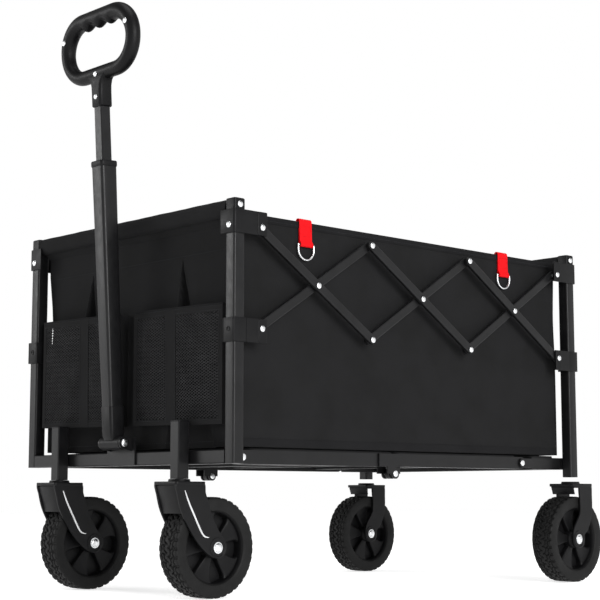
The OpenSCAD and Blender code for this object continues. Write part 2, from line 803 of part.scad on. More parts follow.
module at_wheel(x, y) place() translate([x, y, wheel_r]) children();
module hub_front_right() color(plastic) at_wheel(front_axle_x, stem_y) hub();
module hub_front_left() color(plastic) at_wheel(front_axle_x, -stem_y) hub();
module hub_rear_right() color(plastic) at_wheel(rear_axle_x, -post_y) hub();
module hub_rear_left() color(plastic) at_wheel(rear_axle_x, post_y) hub();
module tyre_front_right() color(plastic) at_wheel(front_axle_x, stem_y) tyre();
module tyre_front_left() color(plastic) at_wheel(front_axle_x, -stem_y) tyre();
module tyre_rear_right() color(plastic) at_wheel(rear_axle_x, -post_y) tyre();
module tyre_rear_left() color(plastic) at_wheel(rear_axle_x, post_y) tyre();

front_posts();
front_caps();
front_brackets();
front_crossbars();
caster_stems();
handle_bracket();
front_wall();
mesh_pockets();
side_panel_right();
side_panel_left();
front_fasteners();
rear_posts();
rear_caps();
rear_brackets();
rear_crossbars();
rear_wall();
rear_forks();
rear_fasteners();
floor_frame_front();
floor_board_front();
mid_hinge_pins();
floor_frame_rear();
floor_board_rear();
floor_board_end();
bar_a0();
bar_a1();
bar_a2();
bar_d0();
bar_d1();
bar_d2();
rivets_a0();
rivets_a1();
rivets_a2();
rivets_d0();
slider_front();
slider_rear();
tabs_front();
tabs_rear();
ring_front_right();
ring_front_left();
ring_rear_right();
ring_rear_left();
handle_fitting();
handle_outer_tube();
handle_collar();
handle_inner_tube();
grip();
grip_screws();
fork_right();
fork_left();
axle_right();
axle_left();
hub_front_right();
hub_front_left();
hub_rear_right();
hub_rear_left();
tyre_front_right();
tyre_front_left();
tyre_rear_right();
tyre_rear_left();
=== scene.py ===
from math import cos, pi, radians, sin

import bpy
import numpy as np
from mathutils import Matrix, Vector


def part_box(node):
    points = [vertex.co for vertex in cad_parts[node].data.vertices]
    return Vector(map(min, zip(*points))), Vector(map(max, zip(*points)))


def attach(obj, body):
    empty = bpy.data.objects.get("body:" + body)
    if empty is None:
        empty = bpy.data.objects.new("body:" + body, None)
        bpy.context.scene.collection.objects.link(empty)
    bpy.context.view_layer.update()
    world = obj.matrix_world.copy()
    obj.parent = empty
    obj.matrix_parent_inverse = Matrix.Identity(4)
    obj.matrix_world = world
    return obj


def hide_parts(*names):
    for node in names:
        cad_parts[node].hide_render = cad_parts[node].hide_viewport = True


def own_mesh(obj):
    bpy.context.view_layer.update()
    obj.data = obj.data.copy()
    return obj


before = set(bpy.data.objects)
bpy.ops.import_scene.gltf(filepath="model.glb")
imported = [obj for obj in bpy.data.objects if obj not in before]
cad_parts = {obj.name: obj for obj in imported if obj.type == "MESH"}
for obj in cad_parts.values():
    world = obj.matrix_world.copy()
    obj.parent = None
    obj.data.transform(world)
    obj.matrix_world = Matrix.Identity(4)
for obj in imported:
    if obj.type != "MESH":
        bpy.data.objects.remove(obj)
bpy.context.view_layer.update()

# ---------- camera ----------

CAMERA_PLACE = Vector((-1.9319, -2.0501, 0.1643))
HEADING, PITCH = 0.751, 0.128  # radians: turned from +Y towards +X, and tilted up
aim = Vector((sin(HEADING) * cos(PITCH), cos(HEADING) * cos(PITCH), sin(PITCH)))
camera = bpy.data.objects.new("camera", bpy.data.cameras.new("camera"))
camera.data.lens = 90.5
camera.data.sensor_width = 36.0
camera.location = CAMERA_PLACE
camera.rotation_euler = aim.to_track_quat("-Z", "Y").to_euler()
bpy.context.scene.collection.objects.link(camera)
bpy.context.scene.camera = camera

# ---------- sizes, in millimetres, measured on the frame ----------


def corner(node, side):
    """Lowest (side 0) or highest (side 1) corner of a frame node, in millimetres."""
    return np.array(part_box(node)[side]) * 1000


TUBE = 22.0
HALF_W = 285.0
SHIFT = corner("front_posts", 0)[0] + 435.0  # the design's X = 0 in the frame's X
POST_X, POST_Y = 424.0, HALF_W - TUBE / 2
POST_TOP = corner("front_caps", 1)[2]
HEM_Z = POST_TOP - 15
FLOOR_Z = 233.0
CLOTH_Z = FLOOR_Z + 5
SIDE_TOP = 610.0
PANEL_U = 26.5  # middle of the side cloth, measured in from the side face
WALL_FRONT, WALL_REAR = -410.5, 400.5
POCKET_TOP, POCKET_FOOT = 467.0, 277.0
WHEEL_R, WHEEL_W = 80.0, 46.0
STEM_X, STEM_Y = -446.0, 167.0
AXLE_FRONT, AXLE_REAR = -389.0, 410.0
PIVOT_X, PIVOT_Z, LEAN = -453.0, 248.0, radians(3.5)
END_X, PITCH_X = 379.0, 252.0 + 2.0 / 3
TOP_PIVOT, LOW_PIVOT = 583.0, 422.0
TABS = {"front": -262.0, "rear": 246.0}
TAB_W, LOOP_U, LOOP_Z = 28.0, 21.2, 571.0

# ---------- surfaces ----------
# A part is a dictionary: v holds its points in millimetres, f a list of arrays of faces, and uv,
# if it has one, a place in metres for each point.


def quads(nu, nv, wrap_u=False, wrap_v=False):
    """Faces of a grid of nu by nv points, each joining a point to the next in both directions."""
    i, j = np.meshgrid(np.arange(nu - (not wrap_u)), np.arange(nv - (not wrap_v)), indexing="ij")
    i, j = i.ravel(), j.ravel()
    a, b = (i + 1) % nu, (j + 1) % nv
    return np.stack([i * nv + j, a * nv + j, a * nv + b, i * nv + b], 1)


def weld(part):
    """Points that coincide become one, so that a pole or a seam is closed, and a square with two
    corners in one place becomes a triangle."""
    _, first, back = np.unique(np.round(part["v"], 4), axis=0, return_index=True, return_inverse=True)
    faces = []
    for f in part["f"]:
        f = back.reshape(-1)[f]
        if f.shape[1] == 4:
            same = f == np.roll(f, -1, 1)
            faces.append(f[same.sum(1) == 0])
            for k in range(4):
                keep = [c for c in range(4) if c != k]
                faces.append(f[(same.sum(1) == 1) & same[:, k]][:, keep])
        else:
            faces.append(f)
    out = {"v": part["v"][first], "f": faces}
    if "uv" in part:
        out["uv"] = part["uv"][first]
    return out


def outward(part):
    """Faces turned so that the volume they enclose, summed as cones from the origin, is positive."""
    v, total = part["v"] - part["v"].mean(0), 0.0
    for f in part["f"]:
        for k in range(1, f.shape[1] - 1):
            total += (v[f[:, 0]] * np.cross(v[f[:, k]], v[f[:, k + 1]])).sum()
    if total < 0:
        part["f"] = [f[:, ::-1] for f in part["f"]]
    return part


def tube(rings, closed=False):
    """Skin through rings of points, shape (rings, points, 3), each ring a closed loop; the two end
    rings are filled, unless the last ring joins the first."""
    n, m = rings.shape[:2]
    part = {"v": rings.reshape(-1, 3), "f": [quads(n, m, closed, True)]}
    if not closed:
        ends = np.arange(m)[None]
        part["f"] += [ends[:, ::-1], ends + (n - 1) * m]
    return outward(weld(part))


def sweep(path, profile, up=(0, 0, 1), closed=False):
    """Profile (a across, b up) carried along a path: point = path + a * side + b * normal, where
    side is tangent x up and normal is side x tangent. The profile may differ at each point."""
    path = np.asarray(path, float)
    if closed:
        tangent = np.roll(path, -1, 0) - np.roll(path, 1, 0)
    else:
        tangent = np.gradient(path, axis=0)
    tangent /= np.linalg.norm(tangent, axis=1, keepdims=True)
    side = np.cross(tangent, np.asarray(up, float))
    side /= np.linalg.norm(side, axis=1, keepdims=True)
    normal = np.cross(side, tangent)
    profile = np.broadcast_to(profile, (len(path),) + np.shape(profile)[-2:])
    rings = path[:, None] + profile[..., :1] * side[:, None] + profile[..., 1:] * normal[:, None]
    return tube(rings, closed)


def rounded(w, h, r, steps=4):
    """Rectangle w by h with corners of radius r, as a closed outline of 4 * (steps + 1) points."""
    a = np.concatenate([np.linspace(q, q + pi / 2, steps + 1) for q in np.arange(4) * pi / 2])
    cx = np.repeat([1, -1, -1, 1], steps + 1) * (w / 2 - r)
    cy = np.repeat([1, 1, -1, -1], steps + 1) * (h / 2 - r)
    return np.stack([cx + r * np.cos(a), cy + r * np.sin(a)], 1)


def circle(r, n=20, squash=1.0):
    """Circle of n points, or an ellipse r by r * squash."""
    a = np.arange(n) * 2 * pi / n
    return np.stack([r * np.cos(a), r * squash * np.sin(a)], 1)


def smooth_outline(points, n=96):
    """Closed smooth curve through a few points: Catmull-Rom pieces, n points in all."""
    p = np.asarray(points, float)
    t = np.arange(n) * len(p) / n
    i, s = t.astype(int), (t % 1)[:, None]
    a, b, c, d = (p[(i + k) % len(p)] for k in (-1, 0, 1, 2))
    return 0.5 * (2 * b + (c - a) * s + (2 * a - 5 * b + 4 * c - d) * s**2 + (3 * b - a - 3 * c + d) * s**3)


def slab(outline, lo, hi, axis, edge=0.6):
    """Plate from lo to hi along an axis (0 X, 1 Y, 2 Z). The outline is drawn in the other two axes
    in order, and its rims are eased by edge: the outline drawn in towards its normals there."""
    p = np.asarray(outline, float)
    t = np.roll(p, -1, 0) - np.roll(p, 1, 0)
    n = np.stack([t[:, 1], -t[:, 0]], 1) / np.linalg.norm(t, axis=1, keepdims=True)
    area = (p[:, 0] * np.roll(p[:, 1], -1) - p[:, 1] * np.roll(p[:, 0], -1)).sum()
    n *= 1 if area > 0 else -1
    rings = []
    for inset, depth in ((edge, lo), (0.3 * edge, lo + 0.3 * edge), (0, lo + edge),
                         (0, hi - edge), (0.3 * edge, hi - 0.3 * edge), (edge, hi)):
        q = p - inset * n
        cols = [q[:, 0], q[:, 1]]
        cols.insert(axis, np.full(len(q), float(depth)))
        rings.append(np.stack(cols, 1))
    return tube(np.array(rings))


def lathe(profile, centre, axis=1, n=48):
    """Profile (radius, place along the axis) turned about an axis through the centre."""
    p = np.asarray(profile, float)
    a = (np.arange(n) * 2 * pi / n)[:, None]
    around = [p[:, 0] * np.cos(a), p[:, 0] * np.sin(a)]
    around.insert(axis, np.broadcast_to(p[:, 1], (n, len(p))))
    rings = np.stack(around, -1) + np.asarray(centre, float)
    part = {"v": rings.reshape(-1, 3), "f": [quads(n, len(p), True, p[0, 0] > 0 and p[-1, 0] > 0)]}
    return outward(weld(part))


def cloth(surface, thick, uv=None):
    """Closed thin shell: a grid of points moved half a thickness each way along its normal, which is
    the cross product of the grid's two directions, with a rim round the edge. UV is arc length."""
    p = np.asarray(surface, float)
    nu, nv = p.shape[:2]
    du, dv = np.gradient(p, axis=0), np.gradient(p, axis=1)
    n = np.cross(du, dv)
    n /= np.maximum(np.linalg.norm(n, axis=2, keepdims=True), 1e-9)
    v = np.concatenate([(p + n * thick / 2).reshape(-1, 3), (p - n * thick / 2).reshape(-1, 3)])
    if uv is None:
        su = np.concatenate([[0], np.cumsum(np.linalg.norm(np.diff(p[:, nv // 2], axis=0), axis=1))])
        sv = np.concatenate([[0], np.cumsum(np.linalg.norm(np.diff(p[nu // 2], axis=0), axis=1))])
        uv = np.stack(np.meshgrid(su, sv, indexing="ij"), -1) / 1000
    front = quads(nu, nv)
    index = np.arange(nu * nv).reshape(nu, nv)
    rim = np.concatenate([index[:-1, 0], index[-1, :-1], index[:0:-1, -1], index[0, :0:-1]])
    after = np.roll(rim, -1)
    side = np.stack([rim, after, after + nu * nv, rim + nu * nv], 1)
    part = {"v": v, "f": [front, front[:, ::-1] + nu * nv, side[:, ::-1]],
            "uv": np.concatenate([uv.reshape(-1, 2)] * 2)}
    return outward(part)


def mirrored(part):
    """The part's mirror image across the middle plane, Y = 0."""
    out = dict(part, v=part["v"] * [1, -1, 1])
    out["f"] = [f[:, ::-1] for f in part["f"]]
    return out


def both(parts):
    """The parts and their mirror images."""
    return list(parts) + [mirrored(p) for p in parts]


def on_handle(part):
    """From the handle's own axes, with its pivot at the origin and z along the tube, to the frame's."""
    x, y, z = part["v"].T
    return dict(part, v=np.stack([PIVOT_X + x * cos(LEAN) - z * sin(LEAN), y,
                                  PIVOT_Z + x * sin(LEAN) + z * cos(LEAN)], 1))


def piece(name, parts, finish, body=None, stands_for=(), crease=35):
    """One object at the origin made of parts, smooth except at edges sharper than crease degrees."""
    points, faces, places, base = [], [], [], 0
    for part in parts:
        points.append(part["v"])
        places.append(part.get("uv", np.zeros((len(part["v"]), 2))))
        for f in part["f"]:
            faces += (f + base).tolist()
        base += len(part["v"])
    mesh = bpy.data.meshes.new(name)
    v = (np.concatenate(points) + [SHIFT, 0, 0]) / 1000
    mesh.from_pydata(v.tolist(), [], faces)
    if any("uv" in part for part in parts):
        uv = np.concatenate(places)
        corners = np.empty(len(mesh.loops), int)
        mesh.loops.foreach_get("vertex_index", corners)
        mesh.uv_layers.new(name="cut").uv.foreach_set("vector", uv[corners].ravel().astype(np.float32))
    mesh.polygons.foreach_set("use_smooth", [True] * len(mesh.polygons))
    mesh.set_sharp_from_angle(angle=radians(crease))
    mesh.materials.append(finish)
    obj = bpy.data.objects.new(name, mesh)
    bpy.context.scene.collection.objects.link(obj)
    if body:
        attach(obj, body)
    if stands_for:
        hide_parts(*stands_for)
    return obj


# ---------- finishes ----------


def linear(hex_colour):
    """sRGB hex to linear RGBA: c/12.92 below 0.04045, else ((c + 0.055) / 1.055) ** 2.4."""
    c = np.array([int(hex_colour[i:i + 2], 16) for i in (1, 3, 5)]) / 255
    c = np.where(c <= 0.04045, c / 12.92, ((c + 0.055) / 1.055) ** 2.4)
    return (*c.tolist(), 1.0)


def add(tree, kind, inputs=None, **settings):
    """A node with its settings; an input given a socket is linked, and any other value is set."""
    made = tree.nodes.new(kind)
    for key, value in settings.items():
        setattr(made, key, value)
    for key, value in (inputs or {}).items():
        if isinstance(value, bpy.types.NodeSocket):
            tree.links.new(value, made.inputs[key])
        else:
            made.inputs[key].default_value = value
    return made


def shader(name, **values):
    """A material with its Principled shader's own sockets set; gives (material, tree, shader)."""
    made = bpy.data.materials.new(name)
    made.use_nodes = True
    made.diffuse_color = values.get("Base Color", (0.03, 0.03, 0.03, 1))
    core = made.node_tree.nodes["Principled BSDF"]
    for key, value in values.items():
        core.inputs[key].default_value = value
    return made, made.node_tree, core


def mottle(tree, coords, size_mm, detail=3.0):
    """Cloudy noise whose grains are size_mm across, from 0 to 1."""
    return add(tree, "ShaderNodeTexNoise", {"Vector": coords, "Scale": 1000 / size_mm, "Detail": detail,
                                            "Roughness": 0.55}).outputs["Fac"]


def blend_colours(tree, core, factor, low, high):
    """Base colour between two hex colours as the factor goes from 0.3 to 0.7."""
    ramp = add(tree, "ShaderNodeValToRGB", {"Fac": factor})
    ramp.color_ramp.elements[0].position, ramp.color_ramp.elements[1].position = 0.3, 0.7
    ramp.color_ramp.elements[0].color, ramp.color_ramp.elements[1].color = linear(low), linear(high)
    tree.links.new(ramp.outputs["Color"], core.inputs["Base Color"])


def spread(tree, core, factor, low, high):
    """Roughness between low and high as the factor goes from 0.3 to 0.7."""
    made = add(tree, "ShaderNodeMapRange", {"Value": factor, "From Min": 0.3, "From Max": 0.7,
                                            "To Min": low, "To Max": high})
    tree.links.new(made.outputs["Result"], core.inputs["Roughness"])


def bump(tree, core, height, strength, depth_mm):
    """Bumps of the surface normal, depth_mm from low to high at full strength."""
    made = add(tree, "ShaderNodeBump", {"Height": height, "Strength": strength, "Distance": depth_mm / 1000})
    tree.links.new(made.outputs["Normal"], core.inputs["Normal"])


def powder_coat():
    """Satin black polyester powder baked on steel: fine orange peel, soft broad highlights."""
    made, tree, core = shader("powder_coated_steel", **{"IOR": 1.5, "Roughness": 0.36,
                                                        "Specular IOR Level": 0.22})
    place = add(tree, "ShaderNodeTexCoord").outputs["Object"]
    cloud = mottle(tree, place, 45)
    blend_colours(tree, core, cloud, "#0c0c0d", "#131314")
    spread(tree, core, mottle(tree, place, 12), 0.30, 0.42)
    # the real peel is about 0.4 mm across, drawn at 1.4 mm so that it shows
    bump(tree, core, mottle(tree, place, 1.4, 1.0), 0.22, 0.10)
    return made


def moulded(name, low, high, rough_low, rough_high, grain_mm, depth_mm):
    """Injection-moulded plastic with a spark-eroded grain: even, slightly cloudy, soft highlights."""
    made, tree, core = shader(name, **{"IOR": 1.49, "Specular IOR Level": 0.13})
    place = add(tree, "ShaderNodeTexCoord").outputs["Object"]
    blend_colours(tree, core, mottle(tree, place, 30), low, high)
    spread(tree, core, mottle(tree, place, 9), rough_low, rough_high)
    bump(tree, core, mottle(tree, place, grain_mm, 2.0), 0.3, depth_mm)
    return made


def bright_zinc():
    """Zinc plate on steel: bright, faintly brushed, with slight blotches from the bath."""
    made, tree, core = shader("bright_zinc_plate", **{"Metallic": 1.0})
    place = add(tree, "ShaderNodeTexCoord").outputs["Object"]
    blend_colours(tree, core, mottle(tree, place, 6), "#d9dbdd", "#f0f1f2")
    spread(tree, core, mottle(tree, place, 3), 0.22, 0.34)
    bump(tree, core, mottle(tree, place, 0.8, 1.0), 0.12, 0.03)
    return made


def threads(tree, across_mm, along_mm):
    """Two sets of rounded threads, at the given spacings, on the cut's own UV."""
    cut = add(tree, "ShaderNodeUVMap", uv_map="cut").outputs["UV"]
    # a wave's spacing in metres is 2 * pi / (20 * scale)
    return [add(tree, "ShaderNodeTexWave", {"Vector": cut, "Scale": 2 * pi / 20 / (size / 1000),
                                            "Distortion": 0.0}, bands_direction=way).outputs["Fac"]
            for way, size in (("X", across_mm), ("Y", along_mm))]


def mixed(tree, first, second, share, offset):
    """first * share + second * offset; each factor is a number or a socket."""
    part = add(tree, "ShaderNodeMath", {0: second, 1: offset}, operation="MULTIPLY").outputs[0]
    return add(tree, "ShaderNodeMath", {0: first, 1: share, 2: part}, operation="MULTIPLY_ADD").outputs[0]


def woven_polyester(name, low, high, pitch_mm, sheen):
    """Coated Oxford polyester: matte, with a fine square weave and a soft edge glow from its fibres."""
    made, tree, core = shader(name, **{"IOR": 1.45, "Roughness": 0.85, "Sheen Weight": sheen,
                                       "Sheen Roughness": 0.45, "Specular IOR Level": 0.08})
    core.inputs["Sheen Tint"].default_value = linear("#8a8a8a")
    weave = add(tree, "ShaderNodeMath", dict(enumerate(threads(tree, pitch_mm, pitch_mm))),
                operation="MAXIMUM").outputs[0]
    place = add(tree, "ShaderNodeTexCoord").outputs["Object"]
    blend_colours(tree, core, mixed(tree, mottle(tree, place, 60), weave, weave, 0.2), low, high)
    # the real threads are 0.5 mm apart, drawn wider so that they show
    bump(tree, core, weave, 0.35, 0.25)
    return made


def webbing(name, low, high):
    """Flat woven polyester webbing: ribs along its length, crossed by finer picks."""
    made, tree, core = shader(name, **{"IOR": 1.45, "Roughness": 0.7, "Specular IOR Level": 0.1})
    # the real ribs are about 1.4 mm apart, drawn at 2.8 mm so that they show
    rib, pick = threads(tree, 2.8, 1.6)
    weave = mixed(tree, rib, pick, 0.75, 0.25)
    blend_colours(tree, core, weave, low, high)
    bump(tree, core, weave, 0.6, 0.35)
    return made


COAT = powder_coat()
NYLON = moulded("moulded_nylon", "#0c0c0d", "#121213", 0.36, 0.46, 1.1, 0.06)
# light grey for the fork legs' front ridges: a painted highlight, not the nylon's own colour; the low
# roughness adds real gloss
RIDGE_PAINTED_HIGHLIGHT = moulded("ridge_painted_highlight", "#b9babb", "#cfd0d1", 0.12, 0.2, 1.1, 0.02)
SOFT_TOUCH = moulded("soft_touch_plastic", "#080809", "#0c0c0d", 0.38, 0.48, 0.9, 0.05)
WHEEL_PLASTIC = moulded("moulded_polypropylene", "#0a0a0b", "#101011", 0.40, 0.5, 1.3, 0.07)
RUBBER = moulded("moulded_tread_rubber", "#0f0f0f", "#171717", 0.5, 0.62, 1.0, 0.12)
ZINC = bright_zinc()
POLYESTER = woven_polyester("oxford_polyester", "#151515", "#1c1c1d", 1.5, 0.03)
TAPE = woven_polyester("polyester_binding_tape", "#121213", "#19191a", 1.8, 0.05)
THREAD = moulded("bonded_thread", "#222325", "#2e2f31", 0.6, 0.7, 0.6, 0.05)
NET = moulded("knitted_polyester_net", "#1d1d1e", "#2b2b2c", 0.4, 0.5, 0.8, 0.05)
RED_WEBBING = webbing("red_webbing", "#a8080e", "#dc0d16")
RED_THREAD = moulded("red_bonded_thread", "#a80c14", "#c81019", 0.6, 0.7, 0.6, 0.05)

# ---------- frame nodes that keep their shape ----------

for names, finish in ((("front_crossbars", "rear_crossbars", "caster_stems", "handle_bracket",
                        "floor_frame_front", "floor_frame_rear", "handle_inner_tube"), COAT),
                      (("ring_front_right", "ring_front_left", "ring_rear_right", "ring_rear_left"), ZINC)):
    for name in names:
        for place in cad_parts[name].material_slots:
            place.material = finish

# ---------- fabric basket ----------


def front_pull(z):
    """How far a front corner seam is drawn in, in millimetres: it opens downwards from z = 558 to
    the pocket's top, and closes again behind the pocket."""
    return 1.0 + 6.0 * np.clip((558 - z) / 95, 0, 1) - 5.0 * np.clip((455 - z) / 70, 0, 1)


def rear_pull(z):
    """The same for a rear corner: a shallow bell round z = 500."""
    return 0.4 + 1.6 * np.exp(-(((z - 500) / 60.0) ** 2))


def side_wall():
    """Side cloth on the right: x runs between the two corner seams, z from the floor to the top edge,
    and the depth is bowed in by 3 sin(pi s) sin(pi t) with shallow tension folds from the corners."""
    s, t = np.meshgrid(np.linspace(0, 1, 150), np.linspace(0, 1, 64), indexing="ij")
    x_lin = WALL_FRONT + (WALL_REAR - WALL_FRONT) * s
    rise = 2 * (np.exp(-(x_lin - WALL_FRONT) / 16) + np.exp(-(WALL_REAR - x_lin) / 16))
    top = SIDE_TOP - 1.0 + rise
    z = CLOTH_Z + (top - CLOTH_Z) * t
    ahead, behind = front_pull(z), rear_pull(z)
    x = WALL_FRONT + ahead + (WALL_REAR + 1.5 - WALL_FRONT - ahead - behind) * s
    near = np.exp(-(x_lin - WALL_FRONT) / 45) + np.exp(-(WALL_REAR - x_lin) / 45)
    folds = 0.9 * np.sin(z / 14 + x_lin / 37) * near + 0.5 * np.sin(x_lin / 55 + z / 90) * np.sin(pi * t)
    low = 1.2 * np.sin(x_lin / 23 + 1.3) * np.exp(-(z - CLOTH_Z) / 22)
    u = PANEL_U + 3.0 * np.sin(pi * s) * np.sin(pi * t) + folds + low * 0.4
    u = PANEL_U + (u - PANEL_U) * (1 - t**10)
    return np.stack([x, -HALF_W + np.maximum(u, PANEL_U - 0.6), z], -1)


def along_edge(points, profile):
    """Binding tape: a bent strip carried along an edge that runs in X."""
    x = points[:, 0][:, None]
    p = np.asarray(profile, float)
    y = points[:, 1][:, None] + p[:, 0]
    z = points[:, 2][:, None] + p[:, 1]
    return np.stack([np.broadcast_to(x, y.shape), y, z], -1)


def stitch_row(start, end, pitch=5.0, length=3.4, thick=0.5, out=(0, -1, 0)):
    """A row of stitches from start to end: short flattened beads pitch apart, each one box whose
    middle ring is raised by its thickness."""
    start, end, out = (np.asarray(q, float) for q in (start, end, out))
    along = end - start
    span = np.linalg.norm(along)
    along /= span
    over = np.cross(along, out)
    n = max(int(span / pitch), 1)
    middle = start + along * ((np.arange(n) + 0.5) * span / n)[:, None]
    ring = np.array([[-0.5, 0], [0, 0.5], [0.5, 0], [0, -0.5]]) * [1.3, 1] * thick
    across = ring[:, :1] * over + ring[:, 1:] * out
    ends = np.array([-0.5, -0.28, 0.28, 0.5])[:, None, None] * length * along
    size = np.array([0.35, 1, 1, 0.35])[:, None, None]
    lift = np.array([-0.3, 0.35, 0.35, -0.3])[:, None, None] * thick * out
    bead = across[None] * size + ends + lift
    v = (middle[:, None, None] + bead[None]).reshape(-1, 3)
    one = quads(4, 4, False, True)
    caps = np.array([[3, 2, 1, 0], [12, 13, 14, 15]])
    one = np.concatenate([one, caps])
    f = (one[None] + (np.arange(n) * 16)[:, None, None]).reshape(-1, 4)
    return outward({"v": v, "f": [f]})


panel = side_wall()
tape_profile = [(-1.5, -11), (-1.7, -6), (-1.6, -1.5), (-0.9, 0.3),
                (0.4, 0.7), (1.4, -0.3), (1.7, -6), (1.5, -11)]
side_tape = cloth(along_edge(panel[:, -1], tape_profile), 0.7)
foot_tape = cloth(along_edge(panel[:, 0] + [0, 0, 1.0], [(-1.1, 12), (-1.3, 6), (-1.2, 0)]), 0.7)
for side in ("right", "left"):
    turn = (lambda p: p) if side == "right" else mirrored
    wall = piece(f"side_cloth_{side}", [turn(cloth(panel, 1.4))], POLYESTER, "front_frame",
                 [f"side_panel_{side}"])
    trim = piece(f"side_binding_{side}", [turn(side_tape), turn(foot_tape)], TAPE, "front_frame")
    row = stitch_row(panel[0, -1] + [4, -2.3, -9], panel[-1, -1] + [-4, -2.3, -9])
    seam = piece(f"side_stitching_{side}", [turn(row)], THREAD, "front_frame")
    for soft in (wall, trim, seam):
        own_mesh(soft)

SEAM_Z = 548.0
PLEATS = (-125.0, 125.0)


def end_wall(x_wall, inward, pleats, pull):
    """End cloth: y runs between the corner seams and z from the floor to just under the hem sleeve.
    Each pleat is a V that opens downwards from the seam line: with q = |y - y0| / (0.2 (548 - z)),
    its depth is 17 (1 - q ** 5), and y0 drifts outwards. The cloth above the seam line stands 1.4 out,
    and the whole bows in a little."""
    s, t = np.meshgrid(np.linspace(-1, 1, 401), np.linspace(0, 1, 110), indexing="ij")
    z = CLOTH_Z + (600 - CLOTH_Z) * t
    half = HALF_W - PANEL_U - pull(z)
    y = half * s
    below = np.clip(SEAM_Z - z, 0, None)
    depth = 2.4 * (1 - s**2) * np.sin(pi * t) - 1.4 / (1 + np.exp(-(z - SEAM_Z) / 1.0))
    for y0 in pleats:
        q = np.abs(y - y0 - np.sign(y0) * 0.08 * below) / (0.2 * below + 0.01)
        depth = depth + 17 * np.clip(below / 26, 0, 1) * np.clip(1 - q**5, 0, 1)
        depth = depth - 1.8 * np.clip(below / 20, 0, 1) * np.exp(-(((q - 1.15) / 0.16) ** 2))
    depth = depth + 0.5 * np.sin(y / 31 + z / 47) * np.sin(pi * t) * (1 - s**6)
    x = x_wall + inward * (depth + (pull(z) - 1) * np.abs(s) ** 12)
    return np.stack([x, y, z], -1)


def hem_sleeve(x_tube, x_wall, rx=11.0, rz=14.0):
    """Cloth round the top tube: in the XZ plane it climbs from the wall, goes once round the tube on
    an ellipse rx by rz, and comes back to the wall. It is slightly ruffled along Y."""
    way = 1 if x_wall > x_tube else -1
    a = np.radians(np.linspace(-38, 282, 34))
    ring = np.stack([x_tube + way * rx * np.cos(a), HEM_Z + 1 + rz * np.sin(a)], 1)
    tail = np.array([x_wall, HEM_Z - 22.0])
    a_in, a_out = tail + [-way * 1.2, 0], tail + [way * 0.4, 0]
    lead = [a_out + (ring[0] - a_out) * k for k in (0, 0.33, 0.66)]
    back = [ring[-1] + (a_in - ring[-1]) * k for k in (0.33, 0.66, 1)]
    path = np.array(lead + list(ring) + back)
    y = np.linspace(-261.5, 261.5, 120)
    ruffle = 0.14 * np.sin(y / 17) + 0.1 * np.sin(y / 7.3 + 1)
    centre = np.array([x_tube, HEM_Z])
    out = (path - centre) / np.linalg.norm(path - centre, axis=1, keepdims=True)
    p = path[None] + out[None] * ruffle[:, None, None]
    return np.stack([p[..., 0], np.broadcast_to(y[:, None], p.shape[:2]), p[..., 1]], -1)


def wall_piece(end, x_wall, x_tube, inward, pleats, body, pull):
    """One end of the basket: its cloth, the sleeve round its top tube, its stitching and piping."""
    wall = end_wall(x_wall, inward, pleats, pull)
    sleeve = hem_sleeve(x_tube, x_wall)
    out = (-inward, 0, 0)
    made = piece(f"{end}_cloth", [cloth(wall, 1.4)], POLYESTER, body, [f"{end}_wall"])
    hem = piece(f"{end}_hem_sleeve", [cloth(sleeve, 1.0)], POLYESTER, body)
    x_out = x_wall - inward * 2.5
    rows = [stitch_row((x, -half, z), (x, half, z), out=out)
            for x, half, z in ((x_out, 240, SEAM_Z + 3), (x_out + inward * 1.2, 246, CLOTH_Z + 9))]
    lines = piece(f"{end}_stitching", rows, THREAD, body)
    corners = []
    z = np.linspace(CLOTH_Z, 598, 60)
    for s in (-1, 1):
        edge = np.stack([x_wall + inward * (pull(z) - 1), s * (HALF_W - PANEL_U - pull(z) + 0.5), z], 1)
        corners.append(sweep(edge, circle(2.2, 10), up=(1, 0, 0)))
    piping = piece(f"{end}_corner_piping", corners, TAPE, body)


wall_piece("front", WALL_FRONT, -POST_X, 1, PLEATS, "front_frame", front_pull)
wall_piece("rear", WALL_REAR, POST_X, -1, PLEATS, "rear_frame", rear_pull)

# ---------- mesh pockets ----------

POCKET_Y = (20.0, 250.5)
STRIP = (109.0, 134.0)
HEM_BAND = 12.0
LOBES = ((28.0, STRIP[0]), (STRIP[1], 243.0))
TILT = 0.018  # the left pocket hangs a little higher than the right one
POCKET_BACK = WALL_FRONT - 1.2


def pocket_x(y, z):
    """Front of a pocket: flat at its tapes, and each lobe between them bulges forwards by
    6 sin(pi a) ** 0.8 sin(pi b) ** 0.6, where a and b cross the lobe."""
    b = np.clip((z - POCKET_FOOT - 8) / (POCKET_TOP - HEM_BAND - POCKET_FOOT - 8), 0, 1)
    out = np.zeros(np.broadcast(y, z).shape)
    for lo, hi in LOBES:
        a = np.clip((np.abs(y) - lo) / (hi - lo), 0, 1)
        out = out + 6.0 * np.sin(pi * a) ** 0.8 * np.sin(pi * b) ** 0.6
    lean_out = 3.0 * np.clip((z - POCKET_FOOT) / (POCKET_TOP - POCKET_FOOT), 0, 1) * np.sin(
        pi * np.clip((np.abs(y) - POCKET_Y[0]) / (POCKET_Y[1] - POCKET_Y[0]), 0, 1))
    return -428.0 - out - lean_out


def patch(y0, y1, z0, z1, n=24, m=16, lift=0.0):
    """Piece of the pocket's front between y0 and y1, z0 and z1, raised by lift."""
    y, z = np.meshgrid(np.linspace(y0, y1, n), np.linspace(z0, z1, m), indexing="ij")
    return np.stack([pocket_x(y, z) - lift, y, z], -1)


